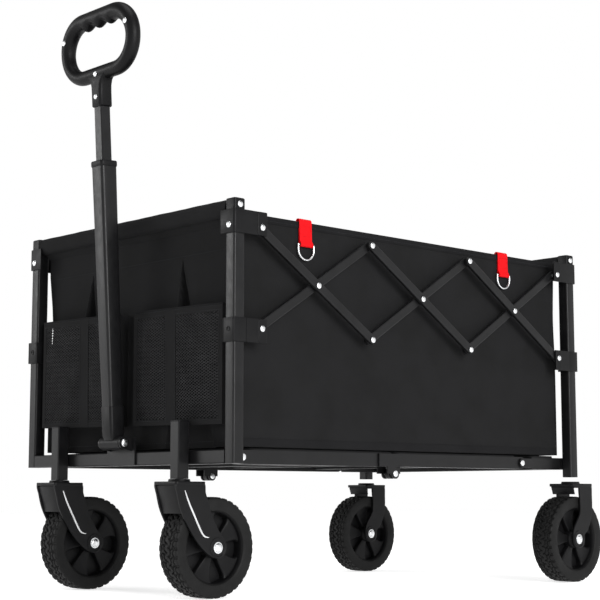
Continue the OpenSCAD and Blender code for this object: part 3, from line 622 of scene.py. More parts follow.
def net(lo, hi, cell_w=8.6, cell_h=4.6, thick=1.5):
    """Knitted net over a lobe: two sets of strands at the slopes +-cell_h / cell_w, clipped to the
    lobe, each a diamond-section strand that weaves in and out by 0.35. The real holes are about
    3 mm wide, drawn at 8.6 mm so that they show."""
    z0, z1 = POCKET_FOOT + 6, POCKET_TOP - HEM_BAND + 2
    strands = []
    slope = cell_h / cell_w
    for way in (1, -1):
        reach = (z1 - z0) / slope
        at = np.arange(lo - reach, hi + reach, cell_w)
        late = lo - at if way > 0 else at - hi
        za = z0 + np.clip(late * slope, 0, None)
        ya = at + (za - z0) / slope * way
        room = (hi - ya) * slope if way > 0 else (ya - lo) * slope
        zb = np.minimum(z1, za + room)
        ok = (zb - za > 1) & (ya >= lo - 0.01) & (ya <= hi + 0.01)
        za, zb, ya = za[ok], zb[ok], ya[ok]
        t = np.linspace(0, 1, 22)
        z = za[:, None] + (zb - za)[:, None] * t
        y = ya[:, None] + (z - za[:, None]) / slope * way
        x = pocket_x(y, z) + way * 0.35 * np.sin(pi * (z - z0) / cell_h)
        strands.append(np.stack([x, y, z], -1))
    p = np.concatenate(strands)
    n, m = p.shape[:2]
    ring = np.array([[-1, 0, 0], [0, 0, 1], [1, 0, 0], [0, 0, -1]]) * thick * [0.4, 0.5, 0.55]
    v = (p[:, :, None] + ring).reshape(-1, 3)
    one = np.concatenate([quads(m, 4, False, True), [[3, 2, 1, 0]],
                          [[4 * m - 4, 4 * m - 3, 4 * m - 2, 4 * m - 1]]])
    f = (one[None] + (np.arange(n) * 4 * m)[:, None, None]).reshape(-1, 4)
    return outward({"v": v, "f": [f]})


def hung(parts):
    """The pockets' small tilt: z rises by TILT per millimetre of y."""
    return [dict(q, v=q["v"] + np.column_stack([0 * q["v"][:, :2], TILT * q["v"][:, 1]])) for q in parts]


def side_gusset(y):
    """Flat cloth at a pocket's end, from its front back to the wall."""
    a, z = np.meshgrid(np.linspace(0, 1, 8), np.linspace(POCKET_FOOT, POCKET_TOP, 24), indexing="ij")
    x = pocket_x(y, z) * (1 - a) + POCKET_BACK * a
    return np.stack([x, np.full(x.shape, y) + 2 * np.sin(pi * a), z], -1)


y0, y1 = POCKET_Y
tapes = [patch(y0, y1, POCKET_TOP - HEM_BAND, POCKET_TOP, 60, 6, 0.5),
         patch(y0, y1, POCKET_FOOT, POCKET_FOOT + 9, 60, 5, 0.4),
         patch(STRIP[0] - 1, STRIP[1] + 1, POCKET_FOOT, POCKET_TOP, 10, 40, 0.8),
         patch(y0, LOBES[0][0] + 1.5, POCKET_FOOT, POCKET_TOP, 6, 40, 0.6),
         patch(LOBES[1][1] - 1.5, y1, POCKET_FOOT, POCKET_TOP, 6, 40, 0.6)]
a, y = np.meshgrid(np.linspace(0, 1, 8), np.linspace(y0, y1, 40), indexing="ij")
floor_cloth = np.stack([pocket_x(y, POCKET_FOOT + 0 * y) * (1 - a) + POCKET_BACK * a, y,
                        POCKET_FOOT + 1 + 0 * y], -1)
plain = [cloth(q, 0.9) for q in tapes + [side_gusset(y0), side_gusset(y1), floor_cloth]]
rim = [cloth(patch(y0 - 0.5, y1 + 0.5, POCKET_TOP - 1.4, POCKET_TOP + 0.6, 60, 4, 0.9), 1.6)]
pockets = piece("pocket_cloth", hung(both(plain)), POLYESTER, "front_frame", ["mesh_pockets"])
edges = piece("pocket_rim", hung(both(rim)), TAPE, "front_frame")
stitches = []
for z in (POCKET_TOP - 3, POCKET_TOP - HEM_BAND + 2, POCKET_FOOT + 7):
    for lo, hi in ((y0 + 2, STRIP[0]), (STRIP[1], y1 - 2)):
        stitches.append(stitch_row((pocket_x(lo, z) - 1.2, lo, z),
                                   (pocket_x(hi, z) - 1.2, hi, z), out=(-1, 0, 0)))
for y in (STRIP[0] + 1.5, STRIP[1] - 1.5):
    stitches.append(stitch_row((-430.0, y, POCKET_FOOT + 4), (-432.4, y, POCKET_TOP - 14), out=(-1, 0, 0)))
sewing = piece("pocket_stitching", hung(both(stitches)), THREAD, "front_frame")
netting = piece("pocket_net", hung(both([net(lo - 1, hi + 1) for lo, hi in LOBES])),
                NET, "front_frame")

# ---------- floor mat ----------


def board(x0, x1, half_y, z0, z1):
    """Fabric-wrapped board: a closed skin whose top is crowned by 1.5 (1 - s ** 8)(1 - t ** 8) and
    whose edge is a quarter round, on the outline of a rounded rectangle shrunk towards its middle."""
    shrink = np.array([1.0, 1.0, 0.995, 0.985, 0.97, 0.9, 0.7, 0.4, 0.0])
    height = np.array([0.0, 0.45, 0.75, 0.92, 1.0, 1.12, 1.25, 1.32, 1.35])
    outline = rounded(x1 - x0, 2 * half_y, 8, 6)
    middle = (x0 + x1) / 2
    half = np.array([(x1 - x0) / 2, half_y])
    rings = []
    for k, h in zip(shrink, height):
        inset = outline * (1 - (1 - k) * (min(half) / half if k > 0.95 else 1))
        rings.append(np.stack([inset[:, 0] + middle, inset[:, 1],
                               np.full(len(outline), z0 + h * (z1 - z0))], 1))
    rings.insert(0, np.stack([0 * outline[:, 0] + middle, 0 * outline[:, 1], np.full(len(outline), z0)], 1))
    part = {"v": np.array(rings).reshape(-1, 3), "f": [quads(len(rings), len(outline), False, True)]}
    part["uv"] = part["v"][:, :2] / 1000
    return outward(weld(part))


for name, body in (("floor_board_front", "floor_front"), ("floor_board_rear", "floor_rear"),
                   ("floor_board_end", "rear_frame")):
    lo, hi = corner(name, 0), corner(name, 1)
    x0, x1, half_y = lo[0] - SHIFT, hi[0] - SHIFT, hi[1]
    skin = piece(f"{name}_mat", [board(x0, x1, half_y, lo[2] + 0.1, hi[2] + 0.4)],
                 POLYESTER, body, [name])
    top = hi[2] + 0.9
    lines = []
    if x1 - x0 > 100:
        for x in (x0 + 14, x1 - 14):
            lines.append(stitch_row((x, -half_y + 14, top), (x, half_y - 14, top), out=(0, 0, 1)))
        for y in (-half_y + 14, half_y - 14):
            lines.append(stitch_row((x0 + 14, y, top), (x1 - 14, y, top), out=(0, 0, 1)))
        piece(f"{name}_stitching", lines, THREAD, body)

# ---------- webbing tabs ----------


def strap(x, depth_heights, thick=1.5):
    """Webbing carried along a path of (depth, height), with its edges rolled thinner. The profile's
    first number runs along X and its second along the path's normal in the YZ plane, and UV is
    (across, along) in metres."""
    path = np.array([(x, -HALF_W + u, z) for u, z in depth_heights], float)
    half = TAB_W / 2
    profile = [(-half, -0.3), (-half + 0.6, -0.5), (half - 0.6, -0.5), (half, -0.3),
               (half, 0.3), (half - 0.6, 0.5), (-half + 0.6, 0.5), (-half, 0.3)]
    profile = np.array(profile) * [1, thick]
    t = np.gradient(path[:, 1:], axis=0)
    t /= np.linalg.norm(t, axis=1, keepdims=True)
    normal = np.stack([np.zeros(len(t)), -t[:, 1], t[:, 0]], 1)
    across = np.array([1.0, 0, 0])
    rings = path[:, None] + profile[None, :, :1] * across + profile[None, :, 1:] * normal[:, None]
    run = np.concatenate([[0], np.cumsum(np.linalg.norm(np.diff(path, axis=0), axis=1))])
    n, m = rings.shape[:2]
    ends = np.arange(m)[None]
    uv = np.stack(np.broadcast_arrays(profile[None, :, 0], run[:, None]), -1).reshape(-1, 2) / 1000
    return outward({"v": rings.reshape(-1, 3), "uv": uv,
                    "f": [quads(n, m, False, True), ends[:, ::-1], ends + (n - 1) * m]})


def arc(u, z, r, a0, a1, n=12):
    """Points (depth, height) on an arc of radius r from a0 to a1 degrees, 0 inwards and 90 up."""
    a = np.radians(np.linspace(a0, a1, n))
    return list(zip(u + r * np.cos(a), z + r * np.sin(a)))


for end, x in TABS.items():
    over = [(30.4, z) for z in np.linspace(583, 607, 6)] + arc(26.7, 610.4, 3.9, 0, 180, 14)
    front = [(22.8 - 0.9 * k, 609 - 32 * k) for k in np.linspace(0.05, 0.95, 12)]
    loop = arc(LOOP_U, LOOP_Z, 2.9, 150, 395, 18)
    back = [(23.9, z) for z in np.linspace(578, 599, 6)]
    ribbon = strap(x, over + front + loop + back)
    rows = [stitch_row((x - 10, -HALF_W + 21.3, z), (x + 10, -HALF_W + 21.0, z), 3.2, 2.4, 0.5)
            for z in (603, 585)]
    rows += [stitch_row((x + s, -HALF_W + 21.1, 585), (x + s, -HALF_W + 21.4, 603), 3.2, 2.4, 0.5)
             for s in (-11, 11)]
    piece(f"webbing_tabs_{end}", both([ribbon]), RED_WEBBING, f"tabs_{end}", [f"tabs_{end}"])
    piece(f"webbing_stitches_{end}", both(rows), RED_THREAD, f"tabs_{end}")

# ---------- post fittings ----------


def cap(x):
    """Moulded cap: square with rounded corners, its rim eased and its top slightly domed."""
    sizes = ((21.6, 606.1), (22.6, 606.4), (22.6, 623.6), (22.0, 625.0),
             (20.4, 625.8), (14.0, 626.0), (0.01, 626.0))
    rings = [np.column_stack([rounded(w, w, min(3.2, 0.16 * w)) + [x, -POST_Y], np.full(20, z)])
             for w, z in sizes]
    return tube(np.array(rings))


def post(x, z0):
    """Square tube with rolled corners, closed by its cap above and by a plug below."""
    rings = [np.column_stack([rounded(w, w, r, 5) + [x, -POST_Y], np.full(24, z)])
             for w, r, z in ((20, 2.4, z0 + 0.2), (TUBE, 3.4, z0 + 0.6), (TUBE, 3.4, 606))]
    return tube(np.array(rings))


def bar(x0, z0, x1, z1, u, w=15.5, t=7.0):
    """Scissor bar between two pivots: a pressed channel with rounded ends and rolled edges."""
    along = np.array([x1 - x0, z1 - z0])
    length = np.linalg.norm(along)
    along = along / length
    across = np.array([-along[1], along[0]])
    a = np.radians(np.linspace(-90, 90, 13))
    end = np.stack([np.cos(a), np.sin(a)], 1) * w / 2
    flat = np.linspace(0, 1, 24)[1:-1, None]
    top = np.array([length, w / 2]) * (1 - flat) + np.array([0, w / 2]) * flat
    low = np.array([0, -w / 2]) * (1 - flat) + np.array([length, -w / 2]) * flat
    loop = np.concatenate([end + [length, 0], top, -end, low])
    outline = np.array([x0, z0]) + loop[:, :1] * along + loop[:, 1:] * across
    return slab(outline, -HALF_W + u, -HALF_W + u + t, 1, 1.7)


def small_cap(x, y, z, s, h):
    """Low square cap of side s and height h on a tube's open end."""
    rings = [np.column_stack([rounded(w, w, min(2.5, 0.12 * w)) + [x, y], np.full(20, z + k)])
             for w, k in ((s, 0), (s, h - 1), (s - 2, h), (0.01, h + 0.2))]
    return tube(np.array(rings))


for k in range(3):
    xa, xb = -END_X + k * PITCH_X, -END_X + (k + 1) * PITCH_X
    for way, letter, za, zb, u in (("falling", "a", TOP_PIVOT, LOW_PIVOT, 0.3),
                                   ("rising", "d", LOW_PIVOT, TOP_PIVOT, 8.3)):
        node = f"bar_{letter}{k}"
        piece(f"{way}_bars_{k}", both([bar(xa, za, xb, zb, u)]), COAT, node, [node], 40)


def wrap_plate(sign, z0, z1, ear_x, wrap_to, t=2.5, r=4.0):
    """Plate t thick bent round a post: outline in plan from the ear along the side face, round the
    outer corner with radius r, and back across the end face to depth wrap_to."""
    face = POST_X + TUBE / 2
    a = np.radians(np.linspace(0, 90, 6))
    bend = [(face + t - r + r * np.sin(q), -t + r - r * np.cos(q)) for q in a]
    p = np.array([(ear_x, -t)] + bend + [(face + t, wrap_to), (face, wrap_to), (face, 0.02), (ear_x, 0.02)])
    p = np.column_stack([sign * p[:, 0], -HALF_W + p[:, 1]])
    return slab(p, z0, z1, 2, 0.7)


def ear(sign, x, z, w=20.0, h=38.0, u0=-3.4, u1=0.0):
    """Raised pad round a pivot on a bracket: rectangle with cut corners, a little proud."""
    outline = rounded(w, h, 4, 3)
    return slab(np.column_stack([outline[:, 0] + sign * x, outline[:, 1] + z]),
                -HALF_W + u0, -HALF_W + u1, 1, 0.7)


BRACKET_Z = (570.0, 608.0)
SLIDER_Z = (399.0, 437.0)


def slider(sign):
    """Collar that runs on a post: four walls round the tube, with an ear plate on the side face."""
    g, w, t = TUBE / 2 + 0.3, TUBE / 2 + 2.5, 0.8
    z0, z1 = SLIDER_Z
    parts = []
    for wide, deep, dx, dy in ((2 * w, w - g, 0, -(w + g) / 2), (2 * w, w - g, 0, (w + g) / 2),
                               (w - g, 2 * g + 0.2, -(w + g) / 2, 0), (w - g, 2 * g + 0.2, (w + g) / 2, 0)):
        p = rounded(wide, deep, t, 3)
        parts.append(slab(np.column_stack([p[:, 0] + sign * POST_X + dx, p[:, 1] - POST_Y + dy]),
                          z0, z1, 2, 0.6))
    p = np.array([(END_X - 10, -2.8), (POST_X - w + 1, -2.8), (POST_X - w + 1, -0.4), (END_X - 10, -0.4)])
    parts.append(slab(np.column_stack([sign * p[:, 0], -HALF_W + p[:, 1]]), z0, z1, 2, 0.5))
    parts.append(ear(sign, END_X - 1, 418, 18, 38, -3.3, -0.5))
    eyelet = [(r, sign * h) for r, h in ((2.2, 0.2), (2.2, 0.9), (3.6, 1.2), (4.4, 0.2))]
    parts.append(lathe(eyelet, (sign * (POST_X + w), -POST_Y, 419), 0, 24))
    return parts


for end, sign, foot in (("front", -1, 211), ("rear", 1, 196)):
    piece(f"{end}_corner_posts", both([post(sign * POST_X, foot)]), COAT, f"{end}_frame",
          [f"{end}_posts"])
    caps = both([cap(sign * POST_X)])
    if end == "front":
        caps += both([small_cap(STEM_X, -STEM_Y, 278, 22.4, 3)])
    piece(f"{end}_post_caps", caps, NYLON, f"{end}_frame", [f"{end}_caps"])
    plates = [wrap_plate(sign, *BRACKET_Z, END_X - 10, 31), ear(sign, END_X, 589, 20, 38, -3.2, -0.2)]
    piece(f"{end}_corner_plates", both(plates), NYLON, f"{end}_frame", [f"{end}_brackets"], 30)
    piece(f"{end}_slide_collars", both(slider(sign)), NYLON, f"slider_{end}",
          [f"slider_{end}"], 30)

# ---------- rivets, pins and bolts ----------


def dome(r, h, skirt=0.4):
    """Half profile of a rivet head: a short skirt, then an ellipse to the crown."""
    a = np.linspace(0, pi / 2, 9)
    return [(0, 0), (r, 0), (r, skirt)] + [(r * np.cos(q), skirt + (h - skirt) * np.sin(q)) for q in a[1:]]


def side_rivet(x, z, u, r=5.2, h=2.6, tail=12.0):
    """Domed head on the side face at depth u, its crown outwards, with a shank behind it."""
    head = lathe([(p, -q) for p, q in dome(r, h)], (x, -HALF_W + u, z))
    washer = lathe([(0, 0), (r + 1.6, 0), (r + 1.6, -0.5), (r + 0.8, -0.7), (0, -0.7)],
                   (x, -HALF_W + u + 0.5, z))
    shank = lathe([(0, 0), (2.9, 0), (2.9, tail), (0, tail)], (x, -HALF_W + u, z), n=16)
    return [head, shank], [washer]


def end_rivet(sign, y, z, x, r=5.2, h=2.6):
    """Domed head on an end face, its crown towards sign along X."""
    return lathe([(p, sign * q) for p, q in dome(r, h)], (sign * x, y, z), 0)


def pin_ends(x, z):
    """Headed hinge pin across a side rail."""
    return [lathe([(p, -q) for p, q in dome(5.5, 1.5)], (x, -HALF_W + 26.4, z)),
            lathe([(0, 0), (3.9, 0), (3.9, 26.6), (0, 26.6)], (x, -HALF_W + 26.3, z), n=20),
            lathe(dome(5.5, 1.5), (x, -HALF_W + 52.6, z))]


def axle_ends(x, y, reach):
    """Bolt through a hub, with a domed head on one side and a flanged nut on the other."""
    parts = [lathe([(0, -reach), (5.9, -reach), (5.9, reach), (0, reach)], (x, y, WHEEL_R), n=24)]
    for s in (-1, 1):
        parts.append(lathe([(p, s * q) for p, q in dome(7.4, 4.2, 1.0)], (x, y + s * reach, WHEEL_R)))
        parts.append(lathe([(0, 0), (9, 0), (9, s * 0.7), (7, s * 1.0), (0, s * 1.0)],
                           (x, y + s * reach, WHEEL_R)))
    return parts


def rivets(name, body, node, places, extra=()):
    """Rivets at (x, z, depth) on both side faces, with a nylon washer under each head."""
    heads, washers = [], []
    for x, z, u in places:
        h, w = side_rivet(x, z, u)
        heads += h
        washers += w
    piece(name, both(heads) + list(extra), ZINC, body, [node])
    piece(name + "_washers", both(washers), NYLON, body)


P1_X, P2_X, P3_X, PIN_Z, MID_PIN_Z = -392.0, -46.0, 300.0, 222.0, 199.0
LEG_OUT = WHEEL_W / 2 + 5.3
front_extra = both([end_rivet(-1, -POST_Y, TOP_PIVOT, POST_X + 13.5)] + pin_ends(P1_X, PIN_Z))
front_extra.append(lathe([(0, -30), (5, -30), (5, 30), (0, 30)], (PIVOT_X, 0, PIVOT_Z), n=24))
for s in (-1, 1):
    front_extra.append(lathe([(p, s * q) for p, q in dome(6.4, 3.6, 1.2)], (PIVOT_X, s * 30.0, PIVOT_Z)))
rivets("front_rivets", "front_frame", "front_fasteners",
       [(-POST_X, 615.5, -0.6), (-END_X, TOP_PIVOT, -3.3)], front_extra)
rear_extra = both([end_rivet(1, -POST_Y, TOP_PIVOT, POST_X + 13.5)] + pin_ends(P3_X, PIN_Z)
                  + axle_ends(AXLE_REAR, -POST_Y, LEG_OUT))
rivets("rear_rivets", "rear_frame", "rear_fasteners",
       [(POST_X, 615.5, -0.6), (END_X, TOP_PIVOT, -3.3)], rear_extra)
MID_Z = (TOP_PIVOT + LOW_PIVOT) / 2
OUT_U = 0.1
rivets("bar_a0_rivets", "bar_a0", "rivets_a0",
       [(-END_X + PITCH_X / 2, MID_Z, OUT_U), (-END_X + PITCH_X, LOW_PIVOT, OUT_U)])
rivets("bar_a1_rivets", "bar_a1", "rivets_a1",
       [(-END_X + PITCH_X, TOP_PIVOT, OUT_U), (-END_X + 1.5 * PITCH_X, MID_Z, OUT_U),
        (-END_X + 2 * PITCH_X, LOW_PIVOT, OUT_U)])
rivets("bar_a2_rivets", "bar_a2", "rivets_a2",
       [(-END_X + 2 * PITCH_X, TOP_PIVOT, OUT_U), (-END_X + 2.5 * PITCH_X, MID_Z, OUT_U),
        (END_X, LOW_PIVOT, -3.4)])
rivets("bar_d0_rivets", "bar_d0", "rivets_d0", [(-END_X, LOW_PIVOT, -3.4)])
piece("mid_rail_pins", both(pin_ends(P2_X, MID_PIN_Z)), ZINC, "floor_front", ["mid_hinge_pins"])
for side, y in (("right", -STEM_Y), ("left", STEM_Y)):
    piece(f"caster_bolt_{side}", axle_ends(AXLE_FRONT, y, LEG_OUT), ZINC, f"caster_{side}",
          [f"axle_{side}"])

# ---------- wheels ----------

SPOKES, BOSS_R, RIM_IN, RIM_OUT = 5, 16.0, 55.5, 60.0
CELLS = 36


def zigzag(t):
    """Triangle wave of period 1, from -1 to 1."""
    return 4 * np.abs((t % 1) - 0.5) - 1


def slot_across(t, reach, steep):
    """One slot in each cell, 1 deep at its middle, t = 0.5, and 0 beyond reach / steep from it."""
    return np.clip(reach - np.abs((t % 1) - 0.5) * steep, 0, 1)


def tread_wheel(cx, cy):
    """Tyre: cross profile from one bead over the tread to the other, turned about Y. The tread is cut
    2.6 deep by zigzag grooves round it at |y| = 7 and 15, by slanted sipes across the middle, and by
    notches across the shoulders, with CELLS cells in a turn. The sidewalls are plain."""
    a = np.linspace(0, 2 * pi, CELLS * 15, endpoint=False)[:, None]
    side_y = np.array([18.0, 20.6, 21.9, 22.6, 23.0, 23.0, 22.9, 22.4, 21.4, 20.6])
    side_r = np.array([57.5, 57.7, 58.8, 61.0, 66.0, 71.0, 75.0, 77.4, 79.0, 79.6])
    flat_y = np.linspace(19.6, 0, 26)
    half_y = np.concatenate([side_y, flat_y])
    half_r = np.concatenate([side_r, 80 - 0.4 * (flat_y / 20) ** 6])
    y = np.concatenate([-half_y, half_y[-2::-1]])
    r0 = np.concatenate([half_r, half_r[-2::-1]])
    turn = CELLS * a / (2 * pi)
    w = np.abs(y)
    shift = np.where(y < 0, 0.5, 0.0)
    ring_1 = np.clip(1.7 - np.abs(w - 6.5 - 1.8 * zigzag(turn + shift)), 0, 1)
    ring_2 = np.clip(1.6 - np.abs(w - 14.6 - 1.6 * zigzag(turn + 0.5 + shift)), 0, 1)
    sipe = slot_across(turn + w / 24 + shift, 1.5, 11) * (w < 6.5)
    rung = slot_across(turn + 0.5 + w / 24 + shift, 1.5, 10) * (w > 6.5) * (w < 14.6)
    notch = slot_across(turn + shift, 1.9, 9) * (w > 14.6) * np.clip((r0 - 77.6) / 1.4, 0, 1)
    cutting = np.maximum.reduce([ring_1, ring_2, sipe, rung, notch]) * (r0 > 77.6)
    r = r0 - 2.6 * cutting
    x = cx + r * np.cos(a)
    z = WHEEL_R + r * np.sin(a)
    grid = np.stack([x, np.broadcast_to(cy + y, x.shape), z], -1)
    n, m = grid.shape[:2]
    return outward({"v": grid.reshape(-1, 3), "f": [quads(n, m, True, True)]})


def spoke(cx, cy, k):
    """Broad spoke of half angle 20 degrees, flared where it meets the boss and the rim; its section is
    a flat superellipse, and its faces are dished by 1.5."""
    r = np.linspace(BOSS_R - 3, RIM_IN + 2, 22)
    flare = np.exp(-(r - BOSS_R + 3) / 4.0) + np.exp(-(RIM_IN + 1 - r) / 3.0)
    half = radians(20) + radians(6) * flare
    q = np.arange(36) * 2 * pi / 36
    c, s = np.cos(q), np.sin(q)
    across = np.sign(c) * np.abs(c) ** 0.22
    deep = np.sign(s) * np.abs(s) ** 0.3
    angle = radians(104) + k * 2 * pi / SPOKES + half[:, None] * across
    thick = 13.6 - 1.5 * np.sin(pi * np.clip((r - BOSS_R) / (RIM_IN - BOSS_R), 0, 1))
    y = cy + thick[:, None] * deep
    return tube(np.stack([cx + r[:, None] * np.cos(angle), y, WHEEL_R + r[:, None] * np.sin(angle)], -1))


def wheel_centre(cx, cy):
    """Rim inside the beads, thin web, boss with raised rings, and five broad spokes."""
    rim = [(RIM_IN, -12), (RIM_IN + 0.6, -18.6), (57.2, -19.8), (RIM_OUT, -19.8),
           (RIM_OUT, 19.8), (57.2, 19.8),
           (RIM_IN + 0.6, 18.6), (RIM_IN, 12)]
    web = [(8, -2), (RIM_IN + 1, -2), (RIM_IN + 1, 2), (8, 2)]
    boss = [(6.1, -22.6), (12.0, -22.6), (13.2, -21.8), (13.8, -19.4), (BOSS_R, -17.6),
            (BOSS_R + 1, -15), (BOSS_R + 1, 15),
            (BOSS_R, 17.6), (13.8, 19.4), (13.2, 21.8), (12.0, 22.6), (6.1, 22.6)]
    parts = [lathe(q, (cx, cy, WHEEL_R), n=96) for q in (rim, web, boss)]
    return parts + [spoke(cx, cy, k) for k in range(SPOKES)]


for end, x, y in (("front", AXLE_FRONT, STEM_Y), ("rear", AXLE_REAR, POST_Y)):
    for side, s in (("right", -1), ("left", 1)):
        body = f"wheel_{end}_{side}"
        piece(f"wheel_centre_{end}_{side}", wheel_centre(x, s * y), WHEEL_PLASTIC, body,
              [f"hub_{end}_{side}"], 40)
        piece(f"tread_{end}_{side}", [tread_wheel(x, s * y)], RUBBER, body,
              [f"tyre_{end}_{side}"], 40)

# ---------- forks ----------

CROWN, CROWN_TOP = 176.0, 184.0


def fork(sx, ax, y, outline, skirt_z, ridge=None):
    """Moulded fork: two legs on a smooth outline, a front plate between them, a crown plate with an
    overhanging lip, and a collar. Where a ridge path is given, a ridge runs down the front of each leg;
    its light grey colour is a painted highlight, on top of the real gloss of its low roughness."""
    inner, outer = WHEEL_W / 2 + 1.3, WHEEL_W / 2 + 5.3
    leg = smooth_outline(outline, 150)
    parts, ridges = [], []
    for s in (-1, 1):
        lo, hi = sorted((y + s * inner, y + s * outer))
        parts.append(slab(leg, lo, hi, 1, 0.9))
        parts.append(lathe([(8.5, s * (outer - 0.5)), (16.5, s * (outer - 0.5)), (16, s * (outer + 0.7)),
                            (14.4, s * (outer + 1.0)), (13.2, s * (outer + 0.2)), (8.5, s * (outer + 0.2))],
                           (ax, y, WHEEL_R), n=40))
        if ridge is not None:
            t = np.linspace(0, 1, 40)
            k = np.linspace(0, 1, len(ridge))
            bend = np.column_stack([np.interp(t, k, ridge[:, 0]), np.full(40, y + s * (outer + 0.2)),
                                    np.interp(t, k, ridge[:, 1])])
            for _ in range(6):
                bend[1:-1] = (bend[:-2] + 2 * bend[1:-1] + bend[2:]) / 4
            size = np.sin(pi * np.clip(t, 0.02, 0.98))[:, None, None] ** 0.3
            ridges.append(sweep(bend, circle(1.55, 12) * size, up=(0, 1, 0)))
    plate = rounded(60, 2 * outer + 2, 4, 5) + [sx + 1, y]
    parts.append(slab(plate, CROWN_TOP - 5.5, CROWN_TOP, 2, 1.0))
    block = rounded(55, 2 * outer - 0.5, 4, 5) + [sx + 1.5, y]
    parts.append(slab(block, CROWN, CROWN_TOP - 5, 2, 0.6))
    parts.append(lathe([(0, CROWN_TOP - 1), (18.5, CROWN_TOP - 1), (17.6, CROWN_TOP + 1),
                        (16.8, CROWN_TOP + 3.8),
                        (15.6, CROWN_TOP + 4), (0, CROWN_TOP + 4)], (sx, y, 0), 2, 40))
    slope = (CROWN - skirt_z) * 0.3
    front = np.array([(sx - 27, CROWN + 1), (sx - 23, CROWN + 1),
                      (sx - 23 + slope, skirt_z), (sx - 26 + slope, skirt_z)])
    parts.append(slab(front, y - inner - 1, y + inner + 1, 1, 0.6))
    return parts, ridges


sx, ax = STEM_X, AXLE_FRONT
front_leg = [(sx - 27, 182), (sx, 182.5), (sx + 28, 182), (sx + 32, 166), (sx + 38, 150), (sx + 46, 128),
             (sx + 59, 107),
             (ax + 17, 87), (ax + 16, 72), (ax + 4, 63.5), (ax - 11, 65.5), (sx + 29, 76), (sx + 12, 93),
             (sx - 4, 115),
             (sx - 17, 139), (sx - 24, 162)]
front_ridge = np.array([(sx - 11, 170), (sx - 7, 160), (sx - 2, 149), (sx + 5, 136.5), (sx + 12, 124),
                        (sx + 19, 111),
                        (sx + 26, 100), (sx + 32, 97), (sx + 38, 96.6)])
for side, s in (("right", -1), ("left", 1)):
    king = lathe([(0, 176), (6, 176), (6, 232), (0, 232)], (STEM_X, s * STEM_Y, 0), 2, 24)
    legs, ridges = fork(sx, ax, s * STEM_Y, front_leg, 134, front_ridge)
    piece(f"caster_fork_{side}", legs + [king], NYLON, f"caster_{side}", [f"fork_{side}"], 32)
    # the ridges' light grey colour is a painted highlight
    piece(f"caster_ridge_{side}", ridges, RIDGE_PAINTED_HIGHLIGHT, f"caster_{side}")
sx, ax = POST_X, AXLE_REAR
rear_leg = [(sx - 8, 182), (sx + 10, 182.5), (sx + 28, 182), (sx + 30, 160), (sx + 29, 132), (sx + 19, 104),
            (ax + 17.5, 86),
            (ax + 15, 69), (ax, 62.5), (ax - 14, 68), (ax - 17, 84), (ax - 12, 103), (sx - 9, 128),
            (sx - 8, 155)]
legs, _ = fork(sx, ax, -POST_Y, rear_leg, 164)
piece("rear_wheel_forks", both(legs), NYLON, "rear_frame", ["rear_forks"], 32)

# ---------- handle ----------

FOOT_Z, COLLAR_TOP, SOCKET_Z, LOOP_FOOT = 58.0, 474.0, 568.0, 626.0


def squares(stations, corner_share=0.16):
    """Skin through rounded squares: each station is (width in x, width in y, height)."""
    rings = [np.column_stack([rounded(a, b, max(corner_share * min(a, b), 0.002), 4), np.full(20, z)])
             for a, b, z in stations]
    return tube(np.array(rings))


outer = squares([(0.01, 0.01, FOOT_Z - 8), (25.6, 25.6, FOOT_Z - 8), (26.2, 26.2, FOOT_Z), (28.4, 28.4, 150),
                 (30.6, 30.6, 330), (32.2, 32.2, 466), (0.01, 0.01, 466)], 0.17)
piece("handle_tube", [on_handle(outer)], COAT, "handle", ["handle_outer_tube"], 30)
sleeve = squares([(0.01, 0.01, 5), (22, 24, 5), (25, 26, 8), (27.6, 27.6, 13), (28.6, 28.6, 20),
                  (28.8, 28.8, FOOT_Z + 2),
                  (28, 28, FOOT_Z + 3.2), (26, 26, FOOT_Z + 3.4), (0.01, 0.01, FOOT_Z + 3.4)], 0.17)
barrel = lathe([(5.1, -26.4), (9.6, -26.4), (10.8, -25.4), (10.8, 25.4), (9.6, 26.4), (5.1, 26.4)],
               (0, 0, 0), 1, 40)
piece("handle_foot", [on_handle(sleeve), on_handle(barrel)], NYLON, "handle",
      ["handle_fitting"], 40)
ring = squares([(0.01, 0.01, 464), (32.4, 32.4, 464), (34.2, 34.2, 466), (34.4, 34.4, 471.6),
                (33, 33, COLLAR_TOP), (23, 23, COLLAR_TOP), (20.8, 20.8, COLLAR_TOP - 1.5),
                (0.01, 0.01, COLLAR_TOP - 1.5)])
piece("handle_lock_collar", [on_handle(ring)], NYLON, "handle", ["handle_collar"], 40)


